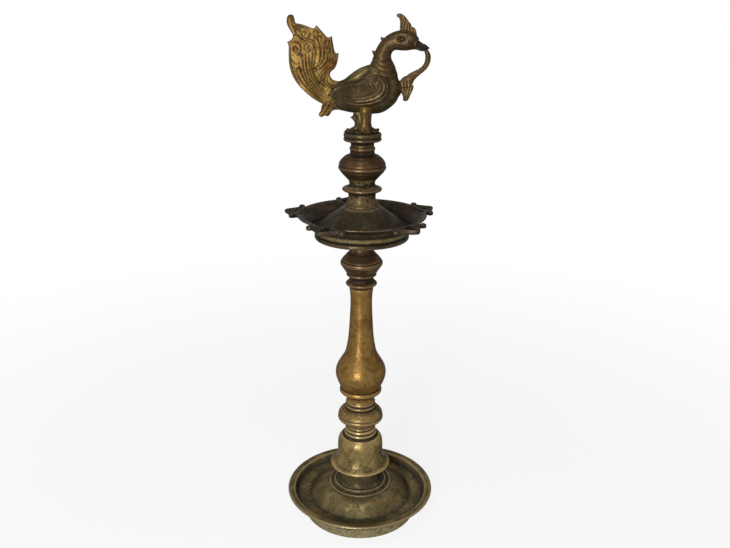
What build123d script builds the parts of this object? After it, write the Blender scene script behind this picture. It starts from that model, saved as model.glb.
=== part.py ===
from build123d import *
import math
import os

# Standing oil lamp (samai) of cast and turned brass, in millimetres.
# +Z is up, and the origin is the centre of the flat ring that the lamp stands on.
# The turned sections screw together on one axis; each has a spigot below that goes
# into the socket of the section under it, and its seat lies on that section's top.

os.makedirs("parts", exist_ok=True)

# Fits of the screwed sections
thread_gap = 0.3
socket_relief = 2.0

# Base pan
foot_radius = 106.6
foot_wall = 4.6
rim_radius = 138.5
rim_band = 14.0
rim_thickness = 4.5
rim_height = 47.0
pan_depth = 14.0
pan_wall = 4.5
dome_foot_radius = 92.0
dome_top_radius = 59.6
dome_rise = 24.0
base_neck_radius = 39.5
base_height = 91.0

# Bell
bell_height = 86.5
bell_radius = 42.5
bell_lip_radius = 56.2
bell_neck_radius = 25.0
bell_spigot_radius = 25.0
bell_spigot_length = 20.0

# Ring knop
ring_knop_height = 55.5
ring_knop_radius = 42.4
ring_knop_top_radius = 25.5
ring_knop_spigot_radius = 16.0
ring_knop_spigot_length = 18.0

# Column
column_height = 219.5
cup_ring_radius = 39.3
column_bulb_radius = 46.4
column_waist_radius = 19.4
column_top_radius = 21.4
column_spigot_radius = 16.0
column_spigot_length = 18.0

# Upper knop
upper_knop_height = 95.5
collar_radius = 28.2
upper_knop_radius = 37.4
upper_knop_neck_radius = 20.0
upper_knop_spigot_radius = 13.0
upper_knop_spigot_length = 18.0

# Oil dish
dish_height = 40.0
dish_lip_radius = 112.0
dish_drum_radius = 81.5
dish_wall = 3.6
dish_hub_radius = 24.0
dish_cone_rise = 14.0
dish_cone_top_radius = 31.0
dish_cone_drop = 22.0
drum_skirt = 2.4
well_floor_height = 18.0

# Wick spouts
spout_count = 5
spout_first_angle = 24.2
spout_tip_radius = 139.2
spout_half_angle = 16.0
spout_shoulder_radius = 121.0
spout_thickness = 5.0
spout_rim_width = 4.0
spout_scoop_depth = 2.2
wick_channel_width = 11.0
wick_channel_depth = 4.5
wick_channel_start = 96.0
volute_radius = 4.6
volute_centre_radius = 121.0
volute_height = 9.0

# Upper stem
stem_height = 103.5
stem_foot_radius = 29.5
stem_neck_radius = 23.4
stem_ring_radius = 34.4
stem_knop_radius = 41.0
stem_top_radius = 19.8
stem_spigot_radius = 11.0
stem_spigot_reach = 20.0

# Perch
perch_height = 21.5
perch_radius = 32.2
perch_spigot_radius = 10.0
perch_spigot_length = 14.0

# Bird
standing_height = 30.0
torso_half_width = 25.0
neck_half_width = 11.0
head_half_width = 13.0
wing_relief = 3.2
tail_thickness = 5.0
crest_thickness = 5.0
tuft_thickness = 8.0
tuft_seat_gap = 0.3
pendant_thickness = 9.0
vine_radius = 4.0
leg_radius = 5.6
leg_half_spacing = 14.0
leg_ankle_height = 10.0
thigh_height = 14.0
leg_entry = 2.0
near_leg_x = 3.2
far_leg_x = 7.4
support_thickness = 13.0
eye_radius = 2.6
eye_x = 64.0
eye_height = 119.5
eye_boss_length = 5.0
foliage_height = 6.0

upright = (Align.CENTER, Align.CENTER, Align.MIN)

# Seats of the sections, each on the one below
bell_seat = base_height
ring_knop_seat = bell_seat + bell_height
column_seat = ring_knop_seat + ring_knop_height
upper_knop_seat = column_seat + column_height
dish_seat = upper_knop_seat + upper_knop_height
dish_lip_height = dish_seat + dish_height
stem_seat = dish_lip_height + dish_cone_rise
perch_seat = stem_seat + stem_height
perch_top = perch_seat + perch_height
torso_bottom = perch_top + standing_height
stem_spigot_length = stem_seat - dish_seat + stem_spigot_reach


def outline(start, *steps):
    """Closed face in XZ: each step is an end point, or an arc's middle and end, or a curve's points."""
    edges = []
    here = start
    for step in steps:
        if not isinstance(step[0], tuple):
            edges.append(Line(here, step))
            here = step
            continue
        if len(step) == 2:
            edges.append(ThreePointArc(here, step[0], step[1]))
        else:
            edges.append(Spline(here, *step))
        here = step[-1]
    edges.append(Line(here, start))
    return Plane.XZ * make_face(edges)


def turned(start, *steps):
    """Solid of revolution about the lamp's axis from an outline of (radius, height) points."""
    return revolve(outline(start, *steps), Axis.Z)


def plate(thickness, start, *steps):
    """Flat plate in the bird's middle plane, with half its thickness on each side."""
    return extrude(outline(start, *steps), thickness / 2, both=True)


def post(radius, bottom, top):
    """Round post on the lamp's axis."""
    return Pos(0, 0, bottom) * Cylinder(radius, top - bottom, align=upright)


def screwed(body, seat, spigot_radius, spigot_length, top, next_spigot_radius, next_spigot_length):
    """Add the spigot under a section's seat and cut the socket for the next section in its top."""
    body += post(spigot_radius, seat - spigot_length, seat)
    socket_floor = top - next_spigot_length - socket_relief
    return body - post(next_spigot_radius + thread_gap, socket_floor, top)


def ring_section(x, z, tilt, half_height, half_width):
    """Ellipse across the bird's body at (x, z), square to the direction that rises by tilt degrees."""
    lean = math.radians(tilt)
    place = Plane(origin=(x, 0, z), x_dir=(0, 1, 0), z_dir=(math.cos(lean), 0, math.sin(lean)))
    return place * Ellipse(half_width, half_height)


def base_pan():
    """Wide pan on a ring foot: flat rim band, oil-catching channel, dome with two rings, and neck."""
    band_inner = rim_radius - rim_band
    floor = rim_height - pan_depth
    rim_under = rim_height - rim_thickness
    dome_top = floor + dome_rise
    neck_foot = dome_top + 7.0
    pan_under = floor - pan_wall
    web = base_height - bell_spigot_length - socket_relief - 6.0
    socket = bell_spigot_radius + thread_gap
    dome_middle = (dome_foot_radius + dome_top_radius) / 2
    body = turned(
        (foot_radius - foot_wall, 0),
        (foot_radius - 1, 0),
        (foot_radius, 1),
        (foot_radius + 1, 15),
        ((foot_radius + 3.2, 22.5), (foot_radius + 10, pan_under - 1)),
        ((band_inner + 0.8, pan_under + 5), (band_inner + 4, rim_under)),
        (rim_radius - 2, rim_under),
        ((rim_radius, rim_height - rim_thickness / 2), (rim_radius - 2, rim_height)),
        (band_inner + 1, rim_height),
        (band_inner, rim_height - 1),
        (band_inner - 3, floor + 4),
        ((band_inner - 4.5, floor + 1), (band_inner - 8, floor)),
        (dome_foot_radius + 6, floor),
        ((dome_foot_radius + 2.6, floor + 0.8), (dome_foot_radius, floor + 3)),
        ((dome_middle + 1.5, dome_top - 8.4), (dome_top_radius, dome_top)),
        ((dome_top_radius - 0.7, dome_top + 1.6), (dome_top_radius - 2.3, dome_top + 2.3)),
        (base_neck_radius + 9.7, dome_top + 3.2),
        ((base_neck_radius + 8.8, dome_top + 5.5), (base_neck_radius + 6.9, dome_top + 6.4)),
        (base_neck_radius + 4.1, neck_foot),
        ((base_neck_radius + 1.1, neck_foot + 2.6), (base_neck_radius, neck_foot + 8)),
        (base_neck_radius, base_height),
        (socket, base_height),
        (socket, web + 6.0),
        (0, web + 6.0),
        (0, web),
        (base_neck_radius - 4, web),
        (dome_top_radius - 3, dome_top - pan_wall),
        ((dome_middle - 1, dome_top - 8.4 - pan_wall), (dome_foot_radius - 2, floor - 1)),
        (dome_foot_radius + 3, pan_under),
        (foot_radius - foot_wall - 3, pan_under),
        ((foot_radius - foot_wall - 0.6, pan_under - 3), (foot_radius - foot_wall, pan_under - 9)),
    )
    return body


def bell():
    """Cylindrical bell with a flared, beaded lip, a rounded shoulder and two beads under its neck."""
    z = bell_seat
    top = ring_knop_seat
    shoulder = top - 19.0
    body = turned(
        (0, z),
        (base_neck_radius - 0.3, z),
        ((base_neck_radius + 1.5, z + 2.4), (base_neck_radius + 6, z + 3.2)),
        (bell_lip_radius - 5.4, z + 3.2),
        ((bell_lip_radius - 3.8, z + 4.8), (bell_lip_radius - 5, z + 6.2)),
        (bell_lip_radius - 1.6, z + 6.6),
        ((bell_lip_radius, z + 8.2), (bell_lip_radius - 1.2, z + 10)),
        ((bell_radius + 3.8, z + 15.6), (bell_radius, z + 27)),
        (bell_radius, shoulder - 15.5),
        ((bell_radius - 1.9, shoulder - 6.2), (bell_radius - 7.7, shoulder)),
        ((bell_radius - 10.6, shoulder + 1.0), (bell_neck_radius + 3.8, shoulder + 3.2)),
        ((bell_neck_radius + 5.3, shoulder + 5.7), (bell_neck_radius + 3.2, shoulder + 8.0)),
        (bell_neck_radius + 1.8, shoulder + 9.0),
        ((bell_neck_radius + 3.6, shoulder + 12.8), (bell_neck_radius + 1.2, shoulder + 16.2)),
        (bell_neck_radius, top - 1.8),
        (bell_neck_radius, top),
        (0, top),
    )
    return screwed(
        body,
        z,
        bell_spigot_radius,
        bell_spigot_length,
        top,
        ring_knop_spigot_radius,
        ring_knop_spigot_length,
    )


def ring_knop():
    """Flattened knop with a grooved ridge round its widest part and two small rings above it."""
    z = ring_knop_seat
    top = column_seat
    r = ring_knop_radius
    waist = ring_knop_top_radius
    body = turned(
        (0, z),
        (bell_neck_radius, z),
        ((bell_neck_radius + 0.2, z + 6), (bell_neck_radius + 3, z + 10.4)),
        (r - 6, z + 11.6),
        (r - 2.8, z + 13.6),
        ((r, z + 19), (r - 0.7, z + 22.2)),
        (r - 1.7, z + 23.2),
        (r - 1.2, z + 24.2),
        ((r - 1.6, z + 28), (r - 5.4, z + 32.4)),
        ((r - 7.6, z + 34.8), (r - 10, z + 36.6)),
        (r - 11.6, top - 17.8),
        ((waist + 3.2, top - 16.8), (waist + 2.2, top - 14.8)),
        ((waist + 2.8, top - 12), (waist + 1.2, top - 9.8)),
        (waist + 0.3, top - 8),
        ((waist + 1.8, top - 4.6), (waist + 0.4, top - 1.8)),
        (waist, top),
        (0, top),
    )
    return screwed(
        body,
        z,
        ring_knop_spigot_radius,
        ring_knop_spigot_length,
        top,
        column_spigot_radius,
        column_spigot_length,
    )


def column():
    """Tall column: cup ring, vase-shaped bulb, and a long taper to a waist below its flared top."""
    z = column_seat
    top = upper_knop_seat
    cup = cup_ring_radius
    bulb = column_bulb_radius
    waist = column_waist_radius
    body = turned(
        (0, z),
        (ring_knop_top_radius, z),
        ((ring_knop_top_radius + 0.2, z + 7), (ring_knop_top_radius + 2.4, z + 11.4)),
        (cup - 5.6, z + 13.8),
        (cup - 2, z + 16),
        ((cup, z + 19.4), (cup - 0.9, z + 22.8)),
        (cup - 2.3, z + 24.6),
        (
            (bulb - 5.6, z + 34.5),
            (bulb - 1.1, z + 46),
            (bulb, z + 54.5),
            (bulb - 2.2, z + 67),
            (bulb - 8.2, z + 79),
            (bulb - 15.3, z + 91),
            (bulb - 19.7, z + 103),
            (waist + 4.2, z + 123),
            (waist + 1.7, top - 62),
            (waist, top - 22),
            (column_top_radius, top),
        ),
        (0, top),
    )
    return screwed(
        body,
        z,
        column_spigot_radius,
        column_spigot_length,
        top,
        upper_knop_spigot_radius,
        upper_knop_spigot_length,
    )


def upper_knop():
    """Collar ring and a full knop with a raised ridge, under the neck that carries the dish."""
    z = upper_knop_seat
    top = dish_seat
    r = upper_knop_radius
    neck = upper_knop_neck_radius
    body = turned(
        (0, z),
        (column_top_radius, z),
        ((column_top_radius + 0.1, z + 2.6), (column_top_radius + 1.4, z + 4.4)),
        (collar_radius - 1.8, z + 6.0),
        ((collar_radius, z + 8.4), (collar_radius - 1.6, z + 11)),
        (collar_radius - 3.4, z + 12),
        ((collar_radius - 5.2, z + 15.4), (collar_radius - 7, z + 18.6)),
        (collar_radius - 6.6, z + 21.6),
        (r - 13, z + 23.2),
        ((r - 10.1, z + 26), (r - 10.8, z + 28.8)),
        ((r - 4.4, z + 38), (r - 0.5, z + 43.6)),
        (r, z + 45),
        (r, z + 49),
        (r - 0.8, z + 50.4),
        (r - 3.1, z + 51.5),
        (r - 2.5, z + 52.7),
        ((r - 7.2, z + 58.2), (r - 12.4, z + 64.6)),
        (r - 13.6, z + 65.4),
        ((neck + 0.8, z + 70), (neck, z + 77)),
        (neck, top),
        (0, top),
    )
    return screwed(
        body,
        z,
        upper_knop_spigot_radius,
        upper_knop_spigot_length,
        top,
        stem_spigot_radius,
        stem_spigot_reach,
    )


def spout_outline(inset, inner_radius):
    """Plan of one spout along +X: straight root, shoulders at its volutes and an ogive to its tip."""
    half = math.radians(spout_half_angle)
    root_x = inner_radius
    root_y = inner_radius * math.tan(half) - inset
    shoulder_x = spout_shoulder_radius * math.cos(half) - inset / 2
    shoulder_y = spout_shoulder_radius * math.sin(half) - 4.5 - inset
    tip = spout_tip_radius - inset * 1.4
    belly_x = shoulder_x + (tip - shoulder_x) * 0.58
    belly_y = shoulder_y * 0.62
    edges = [
        Line((root_x, -root_y), (shoulder_x, -shoulder_y)),
        ThreePointArc((shoulder_x, -shoulder_y), (belly_x, -belly_y), (tip, 0)),
        ThreePointArc((tip, 0), (belly_x, belly_y), (shoulder_x, shoulder_y)),
        Line((shoulder_x, shoulder_y), (root_x, root_y)),
        Line((root_x, root_y), (root_x, -root_y)),
    ]
    return make_face(edges)


def spout_places():
    """Angles of the spouts round the dish."""
    return [spout_first_angle + 360 / spout_count * n for n in range(spout_count)]


def spout_cut():
    """Scoop and wick channel of one spout along +X, open to the dish's well."""
    lip = dish_lip_height
    scoop_start = dish_lip_radius - 12
    scoop = Pos(0, 0, lip - spout_scoop_depth) * extrude(
        spout_outline(spout_rim_width, scoop_start), spout_scoop_depth + 5
    )
    channel_end = spout_tip_radius - spout_rim_width * 2
    straight_end = channel_end - wick_channel_width
    half = wick_channel_width / 2
    plan = make_face(
        [
            Line((wick_channel_start, -half), (straight_end, -half)),
            ThreePointArc((straight_end, -half), (channel_end, 0), (straight_end, half)),
            Line((straight_end, half), (wick_channel_start, half)),
            Line((wick_channel_start, half), (wick_channel_start, -half)),
        ]
    )
    channel = Pos(0, 0, lip - wick_channel_depth) * extrude(plan, wick_channel_depth + 5)
    return scoop + channel


def dish_bowl():
    """Turned oil dish: ringed drum, flared lip, and an inner cone that rises to the stem's seat."""
    z = dish_seat
    lip = dish_lip_height
    bore = stem_spigot_radius + thread_gap
    drum = dish_drum_radius
    inner_drum = drum - dish_wall - 0.4
    cone_foot = lip - dish_cone_drop
    well = z + well_floor_height
    body = turned(
        (bore, z),
        (dish_hub_radius, z),
        (dish_hub_radius, stem_seat - 5.0),
        (inner_drum - 1.5, cone_foot - 6.6),
        (inner_drum, cone_foot - 9.5),
        (inner_drum, z - drum_skirt),
        (drum - 0.6, z - drum_skirt),
        ((drum + 0.9, z + 1.6), (drum - 0.6, z + 5.4)),
        ((drum - 1.8, z + 7.2), (drum - 0.2, z + 8.8)),
        ((drum + 1.4, z + 13), (drum + 2.2, cone_foot + 0.6)),
        ((drum + 9.4, lip - 11.6), (dish_lip_radius - 1.4, lip - 3)),
        ((dish_lip_radius, lip - 1.5), (dish_lip_radius - 1.4, lip)),
        (dish_lip_radius - 4, lip),
        ((drum + 10.5, lip - 10), (drum + 3, cone_foot + 1.4)),
        ((drum + 0.2, well - 1.6), (drum - 3.2, well + 1)),
        (dish_cone_top_radius, stem_seat),
        (bore, stem_seat),
    )
    return body


def oil_dish(bowl):
    """The bowl with the five spouts' scoops and wick channels cut through its lip."""
    for angle in spout_places():
        bowl = bowl - Rot(0, 0, angle) * spout_cut()
    return bowl


def wick_spouts(bowl):
    """Five pointed lips on the dish, by node name, each with a scoop, a wick channel and two volutes."""
    lip = dish_lip_height
    half = math.radians(spout_half_angle)
    root = dish_lip_radius - 3
    blank = Pos(0, 0, lip - spout_thickness) * extrude(spout_outline(0, root), spout_thickness)
    keel = Pos(0, 0, lip - spout_thickness - 3) * extrude(spout_outline(8, root), 3)
    spout = blank + keel
    for side in (-1, 1):
        place = Pos(
            volute_centre_radius * math.cos(half),
            side * volute_centre_radius * math.sin(half),
            lip - volute_height + 1,
        )
        arm = Pos(
            (dish_lip_radius + 2) * math.cos(half),
            side * (dish_lip_radius + 2) * math.sin(half),
            lip - volute_height + 1,
        )
        spout += place * Cylinder(volute_radius, volute_height, align=upright)
        spout += arm * Rot(0, 0, side * spout_half_angle) * Box(
            14, volute_radius, volute_height - 2, align=upright
        )
    spout -= spout_cut()
    spouts = {}
    for number, angle in enumerate(spout_places(), 1):
        cast = Rot(0, 0, angle) * spout - bowl
        spouts[f"wick_spout_{number}"] = max(cast.solids(), key=lambda s: s.volume)
    return spouts


def upper_stem():
    """Stem on the dish: flared foot, thin ring, double-ridged knop, bead and neck, with a long spigot."""
    z = stem_seat
    top = perch_seat
    ring = stem_ring_radius
    knop = stem_knop_radius
    neck = stem_neck_radius
    body = turned(
        (0, z),
        (stem_foot_radius, z),
        (stem_foot_radius, z + 1.2),
        ((stem_foot_radius - 0.6, z + 2.8), (stem_foot_radius - 1.8, z + 3.4)),
        ((neck + 1.2, z + 7.6), (neck, z + 14)),
        ((neck + 0.1, z + 20), (neck + 1.4, z + 24)),
        (ring - 3, z + 26.2),
        ((ring, z + 29), (ring - 1.8, z + 31.8)),
        ((neck + 3.2, z + 34), (neck - 1.2, z + 37.8)),
        (neck - 1.2, z + 42),
        ((neck + 1.6, z + 46.4), (knop - 11.6, z + 50.4)),
        ((knop - 6.2, z + 56.4), (knop - 3.2, z + 60.6)),
        (knop - 3.4, z + 61.4),
        (knop - 2.4, z + 62.2),
        ((knop, z + 67), (knop - 1.2, z + 69.4)),
        (knop - 1.9, z + 70.2),
        (knop - 1.3, z + 71),
        ((knop - 1.6, z + 73.4), (knop - 3.8, z + 76.4)),
        ((knop - 5.6, z + 80.2), (knop - 8.8, z + 83.2)),
        (knop - 9.4, z + 83.6),
        ((knop - 11.4, z + 85.6), (knop - 13.4, z + 86.8)),
        ((stem_top_radius + 3.4, z + 89), (stem_top_radius + 1.4, z + 93.2)),
        ((stem_top_radius + 0.6, z + 95), (stem_top_radius + 1.2, z + 96.2)),
        ((stem_top_radius + 2.4, z + 98.8), (stem_top_radius + 1, z + 101.4)),
        (stem_top_radius, top - 1.2),
        (stem_top_radius, top),
        (0, top),
    )
    return screwed(
        body,
        z,
        stem_spigot_radius,
        stem_spigot_length,
        top,
        perch_spigot_radius,
        perch_spigot_length,
    )


def perch():
    """Round perch of two mouldings that the bird stands on, with the spigot that screws it on."""
    z = perch_seat
    top = perch_top
    r = perch_radius
    body = turned(
        (0, z),
        (stem_top_radius, z),
        ((stem_top_radius + 0.2, z + 3), (stem_top_radius + 2.2, z + 5.6)),
        ((r - 5, z + 7.2), (r - 1.2, z + 8.4)),
        ((r, z + 10.2), (r - 0.6, z + 12)),
        (r - 1.4, z + 13.4),
        (r - 0.6, z + 14.8),
        ((r - 0.3, z + 18), (r - 1.4, top)),
        (0, top),
    )
    return body + post(perch_spigot_radius, z - perch_spigot_length, z)


def perch_foliage():
    """Low mound of leaves on the perch round the bird's feet."""
    z = perch_top
    return turned(
        (0, z),
        (perch_radius - 2.4, z),
        ((perch_radius - 3.6, z + 2.8), (perch_radius - 9, foliage_height * 0.7 + z)),
        ((perch_radius - 14, z + foliage_height * 0.95), (perch_radius - 19, z + foliage_height)),
        (0, z + foliage_height),
    )


def torso_solid(grow):
    """Egg-shaped body from the tail's root to the breast, grown outwards by a relief height."""
    w = torso_half_width + grow
    b = torso_bottom
    sections = [
        ring_section(-50 - grow, b + 35, 0, 11 + grow, w * 0.2),
        ring_section(-40, b + 30.5, 0, 21.5 + grow, w * 0.42),
        ring_section(-20, b + 33.2, 0, 30.4 + grow, w * 0.76),
        ring_section(0, b + 38.2, 0, 37.2 + grow, w * 0.94),
        ring_section(18, b + 40.6, 0, 39.8 + grow, w),
        ring_section(34, b + 40.7, 0, 36.8 + grow, w * 0.93),
        ring_section(47, b + 41, 0, 28.6 + grow, w * 0.76),
        ring_section(56.5, b + 41.5, 0, 18.6 + grow, w * 0.5),
        ring_section(61.5 + grow, b + 42, 0, 8 + grow, w * 0.22),
    ]
    return loft(sections)


def neck_and_head(torso):
    """Neck that leaves the breast, arches forward and swells into the head."""
    b = torso_bottom
    n = neck_half_width
    h = head_half_width
    sections = [
        ring_section(31, b + 66, 96, 23, n * 1.75),
        ring_section(30.5, b + 77, 94, 20.5, n * 1.45),
        ring_section(31, b + 86, 90, 16.2, n * 1.15),
        ring_section(32, b + 95, 80, 13.6, n),
        ring_section(35.5, b + 104, 65, 12.6, n * 0.95),
        ring_section(41.5, b + 111.5, 45, 12.6, n * 0.98),
        ring_section(50, b + 116, 22, 14.2, n * 1.05),
        ring_section(60, b + 117.5, 6, 15.6, h * 0.96),
        ring_section(70, b + 117.5, -2, 15.8, h),
        ring_section(79, b + 116, -8, 13.4, h * 0.86),
        ring_section(86.5, b + 112.5, -14, 9.2, h * 0.6),
    ]
    return loft(sections) - torso


def beak(head):
    """Closed beak with a hooked tip that holds the vine."""
    b = torso_bottom
    sections = [
        ring_section(82, b + 111.5, -14, 8.2, 7.4),
        ring_section(91, b + 108, -20, 6.6, 5.2),
        ring_section(98.5, b + 105, -24, 5.4, 3.6),
        ring_section(104.5, b + 105.2, -20, 2.2, 1.8),
    ]
    return loft(sections) - head


def eyes(head):
    """Pair of round bosses set in the sides of the head."""
    b = torso_bottom
    bosses = []
    for side in (-1, 1):
        place = Pos(eye_x, side * (head_half_width - 1.5), b + eye_height)
        boss = place * Rot(90, 0, 0) * Cylinder(eye_radius, eye_boss_length)
        bosses.append(boss - head)
    outer = []
    for boss in bosses:
        outer.append(max(boss.solids(), key=lambda s: abs(s.center().Y)))
    return Compound(children=outer)


def crest(head):
    """Upright crest whose tip curls back over the head, with a stepped front edge."""
    b = torso_bottom
    body = plate(
        crest_thickness,
        (57.5, b + 128),
        ((59, b + 140), (57.5, b + 150.5)),
        ((53.4, b + 153.5), (53.2, b + 157.2)),
        ((57.5, b + 159), (64, b + 156)),
        ((69.5, b + 151), (73.2, b + 145.2)),
        (75.4, b + 143.4),
        ((75.8, b + 140.4), (78, b + 138.4)),
        (81, b + 137),
        ((84.6, b + 131.5), (85.6, b + 124)),
        (80, b + 120),
        (62, b + 124),
    )
    return body - head


def tail_fan(torso, wings):
    """Broad upright tail plate with spurs on its edges and a curled top corner."""
    b = torso_bottom
    body = plate(
        tail_thickness,
        (-66.5, b + 16),
        ((-85, b + 27), (-103, b + 45.5)),
        ((-116.5, b + 70), (-119.9, b + 93)),
        (-119.8, b + 111),
        (-121.4, b + 113.4),
        (-114.2, b + 118.4),
        ((-112.8, b + 123), (-114.8, b + 128)),
        ((-120.8, b + 139), (-122, b + 149)),
        ((-116.6, b + 154.8), (-110.6, b + 150.5)),
        ((-109.4, b + 145), (-105, b + 141.2)),
        ((-92, b + 138.6), (-79.5, b + 133.5)),
        (-75.2, b + 139),
        ((-66, b + 130), (-57, b + 120)),
        (-50.5, b + 122.5),
        ((-48.8, b + 110), (-45, b + 96.5)),
        (-39.8, b + 96.5),
        ((-40.6, b + 83), (-46, b + 72)),
        (-52.4, b + 67.5),
        ((-53.4, b + 60), (-45, b + 53.4)),
        ((-38, b + 52.6), (-30, b + 54)),
        (-34, b + 14),
        (-50, b + 9),
    )
    return body - torso - wings


def tail_tuft(torso, tail):
    """Short hanging tuft under the tail's root with two curled ends."""
    b = torso_bottom
    body = plate(
        tuft_thickness,
        (-66.8, b + 15.5),
        ((-68.6, b + 8), (-69.4, b + 3)),
        ((-72.4, b - 1), (-68.5, b - 4.6)),
        ((-65, b - 4.6), (-62, b - 3)),
        ((-57.6, b - 3.8), (-54, b - 1)),
        ((-51.6, b + 3), (-48, b + 5.6)),
        ((-42, b + 6.4), (-34, b + 5)),
        (-30, b + 20),
        (-52, b + 24),
    )
    return body - torso - tail


def wing(side, torso, grown_torso):
    """Folded wing laid on one side of the body, from its front scroll to its long tip."""
    b = torso_bottom
    face = outline(
        (-54, b + 30),
        ((-50, b + 40), (-40, b + 46)),
        ((-22, b + 50), (-4, b + 52.5)),
        ((8, b + 57.6), (24, b + 60.5)),
        ((36, b + 56), (40, b + 44)),
        ((36, b + 28), (22, b + 18.6)),
        ((-4, b + 13.4), (-30, b + 18)),
        ((-44, b + 23), (-54, b + 29)),
    )
    slab = extrude(face, -side * (torso_half_width + wing_relief + 5))
    return (slab & grown_torso) - torso


def vine(head_and_beak):
    """Tapering stem that hangs from the beak and curves back to the breast."""
    b = torso_bottom
    r = vine_radius
    sections = [
        ring_section(103.2, b + 100.5, -78, r * 0.8, r * 0.8),
        ring_section(105, b + 92.5, -88, r * 1.1, r),
        ring_section(104.4, b + 84.5, -104, r, r),
        ring_section(99.6, b + 76, -128, r * 0.9, r * 0.9),
        ring_section(92, b + 69.6, -144, r * 1.05, r),
        ring_section(83, b + 63.6, -142, r * 1.2, r * 1.1),
        ring_section(77, b + 58, -130, r * 1.35, r * 1.15),
    ]
    return loft(sections) - head_and_beak


def flower_pendant(torso, stem):
    """Drooping flower at the vine's end, lying against the breast."""
    b = torso_bottom
    body = plate(
        pendant_thickness,
        (62, b + 56),
        ((67, b + 60.4), (72, b + 62)),
        (82, b + 55.5),
        ((80.2, b + 51.5), (82, b + 47)),
        ((82.4, b + 43), (80.4, b + 40)),
        ((78, b + 31), (74, b + 24)),
        ((70, b + 21), (66.2, b + 23.4)),
        ((66, b + 30), (62.6, b + 35.4)),
        (56, b + 40),
    )
    return body - torso - stem


def leg(x, side, torso):
    """One leg, widened at the thigh and at the foot."""
    foot = perch_top
    y = side * leg_half_spacing
    ankle = foot + leg_ankle_height
    shank_top = torso_bottom + leg_entry
    lower = Pos(x, y, foot) * Cone(leg_radius * 1.35, leg_radius, leg_ankle_height, align=upright)
    shank = Pos(x, y, ankle) * Cylinder(leg_radius, shank_top - ankle, align=upright)
    thigh = Pos(x, y, shank_top) * Cone(leg_radius, leg_radius * 1.5, thigh_height, align=upright)
    return lower + shank + thigh - torso


def foliage_support(torso, legs, mound):
    """Leafy web between the legs that carries the body, with a spur behind."""
    b = torso_bottom
    z = perch_top
    body = plate(
        support_thickness,
        (-17, z),
        ((-13.6, z + 8), (-13, z + 14)),
        ((-14.2, z + 18), (-17, z + 20.5)),
        (-20.4, z + 24.5),
        ((-17.6, z + 27.6), (-15.4, z + 30.5)),
        (-15.4, b + 12),
        (18, b + 12),
        ((14.6, z + 27), (13.4, z + 21)),
        ((14, z + 15), (12.8, z + 10)),
        ((16.6, z + 5.6), (21.5, z)),
    )
    for one in legs:
        body = body - one
    return body - torso - mound


def build():
    """Make every sub-part and return them by node name."""
    bowl = dish_bowl()
    torso = torso_solid(0)
    grown = torso_solid(wing_relief)
    wing_near = wing(-1, torso, grown)
    wing_far = wing(1, torso, grown)
    head = neck_and_head(torso)
    wing_near = wing_near - head
    wing_far = wing_far - head
    bill = beak(head)
    stem = vine(bill)
    tail = tail_fan(torso, wing_near + wing_far)
    tuft = tail_tuft(torso_solid(tuft_seat_gap), tail) - wing_near - wing_far
    mound = perch_foliage()
    leg_near = leg(near_leg_x, -1, torso) - wing_near
    leg_far = leg(far_leg_x, 1, torso) - wing_far
    mound = mound - leg_near - leg_far
    support = foliage_support(torso, [leg_near, leg_far], mound)
    return {
        "base_pan": base_pan(),
        "bell": bell(),
        "ring_knop": ring_knop(),
        "column": column(),
        "upper_knop": upper_knop(),
        "oil_dish": oil_dish(bowl),
        **wick_spouts(bowl),
        "upper_stem": upper_stem(),
        "perch": perch(),
        "perch_foliage": mound,
        "foliage_support": support,
        "leg_near": leg_near,
        "leg_far": leg_far,
        "torso": torso,
        "wing_near": wing_near,
        "wing_far": wing_far,
        "neck_and_head": head,
        "eyes": eyes(head),
        "beak": bill,
        "crest": crest(head),
        "tail_fan": tail,
        "tail_tuft": tuft,
        "vine": stem,
        "flower_pendant": flower_pendant(torso, stem),
    }


for name, shape in build().items():
    export_step(shape, f"parts/{name}.step")
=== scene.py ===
# Standing oil lamp (samai) of cast and turned brass: sections screwed together on one axis, a dish with
# five wick lips, and a bird finial. Sizes and places are in mm, and the meshes are made in metres.
import math

import bpy
import numpy as np
from mathutils import Euler, Matrix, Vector
from mathutils.geometry import delaunay_2d_cdt


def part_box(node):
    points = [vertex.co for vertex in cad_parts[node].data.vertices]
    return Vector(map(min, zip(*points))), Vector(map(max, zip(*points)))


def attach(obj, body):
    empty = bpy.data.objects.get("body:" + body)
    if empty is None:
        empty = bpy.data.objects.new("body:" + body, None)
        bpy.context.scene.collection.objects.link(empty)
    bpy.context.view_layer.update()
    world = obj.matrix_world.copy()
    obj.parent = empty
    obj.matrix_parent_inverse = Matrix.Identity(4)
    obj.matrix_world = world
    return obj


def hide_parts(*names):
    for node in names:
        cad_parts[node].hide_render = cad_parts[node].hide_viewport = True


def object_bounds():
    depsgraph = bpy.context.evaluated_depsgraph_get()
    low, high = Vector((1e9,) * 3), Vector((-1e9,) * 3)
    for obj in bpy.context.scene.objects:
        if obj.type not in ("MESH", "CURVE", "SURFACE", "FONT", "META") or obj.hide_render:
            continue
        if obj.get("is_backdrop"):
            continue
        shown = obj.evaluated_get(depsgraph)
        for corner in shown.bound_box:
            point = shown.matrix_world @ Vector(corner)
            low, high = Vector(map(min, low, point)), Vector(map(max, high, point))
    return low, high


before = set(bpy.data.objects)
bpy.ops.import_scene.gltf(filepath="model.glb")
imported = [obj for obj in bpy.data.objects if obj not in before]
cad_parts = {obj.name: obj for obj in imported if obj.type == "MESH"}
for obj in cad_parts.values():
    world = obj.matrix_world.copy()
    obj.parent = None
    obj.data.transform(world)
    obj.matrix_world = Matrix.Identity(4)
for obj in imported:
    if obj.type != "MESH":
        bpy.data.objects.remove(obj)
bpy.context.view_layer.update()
mm = 0.001


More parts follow.
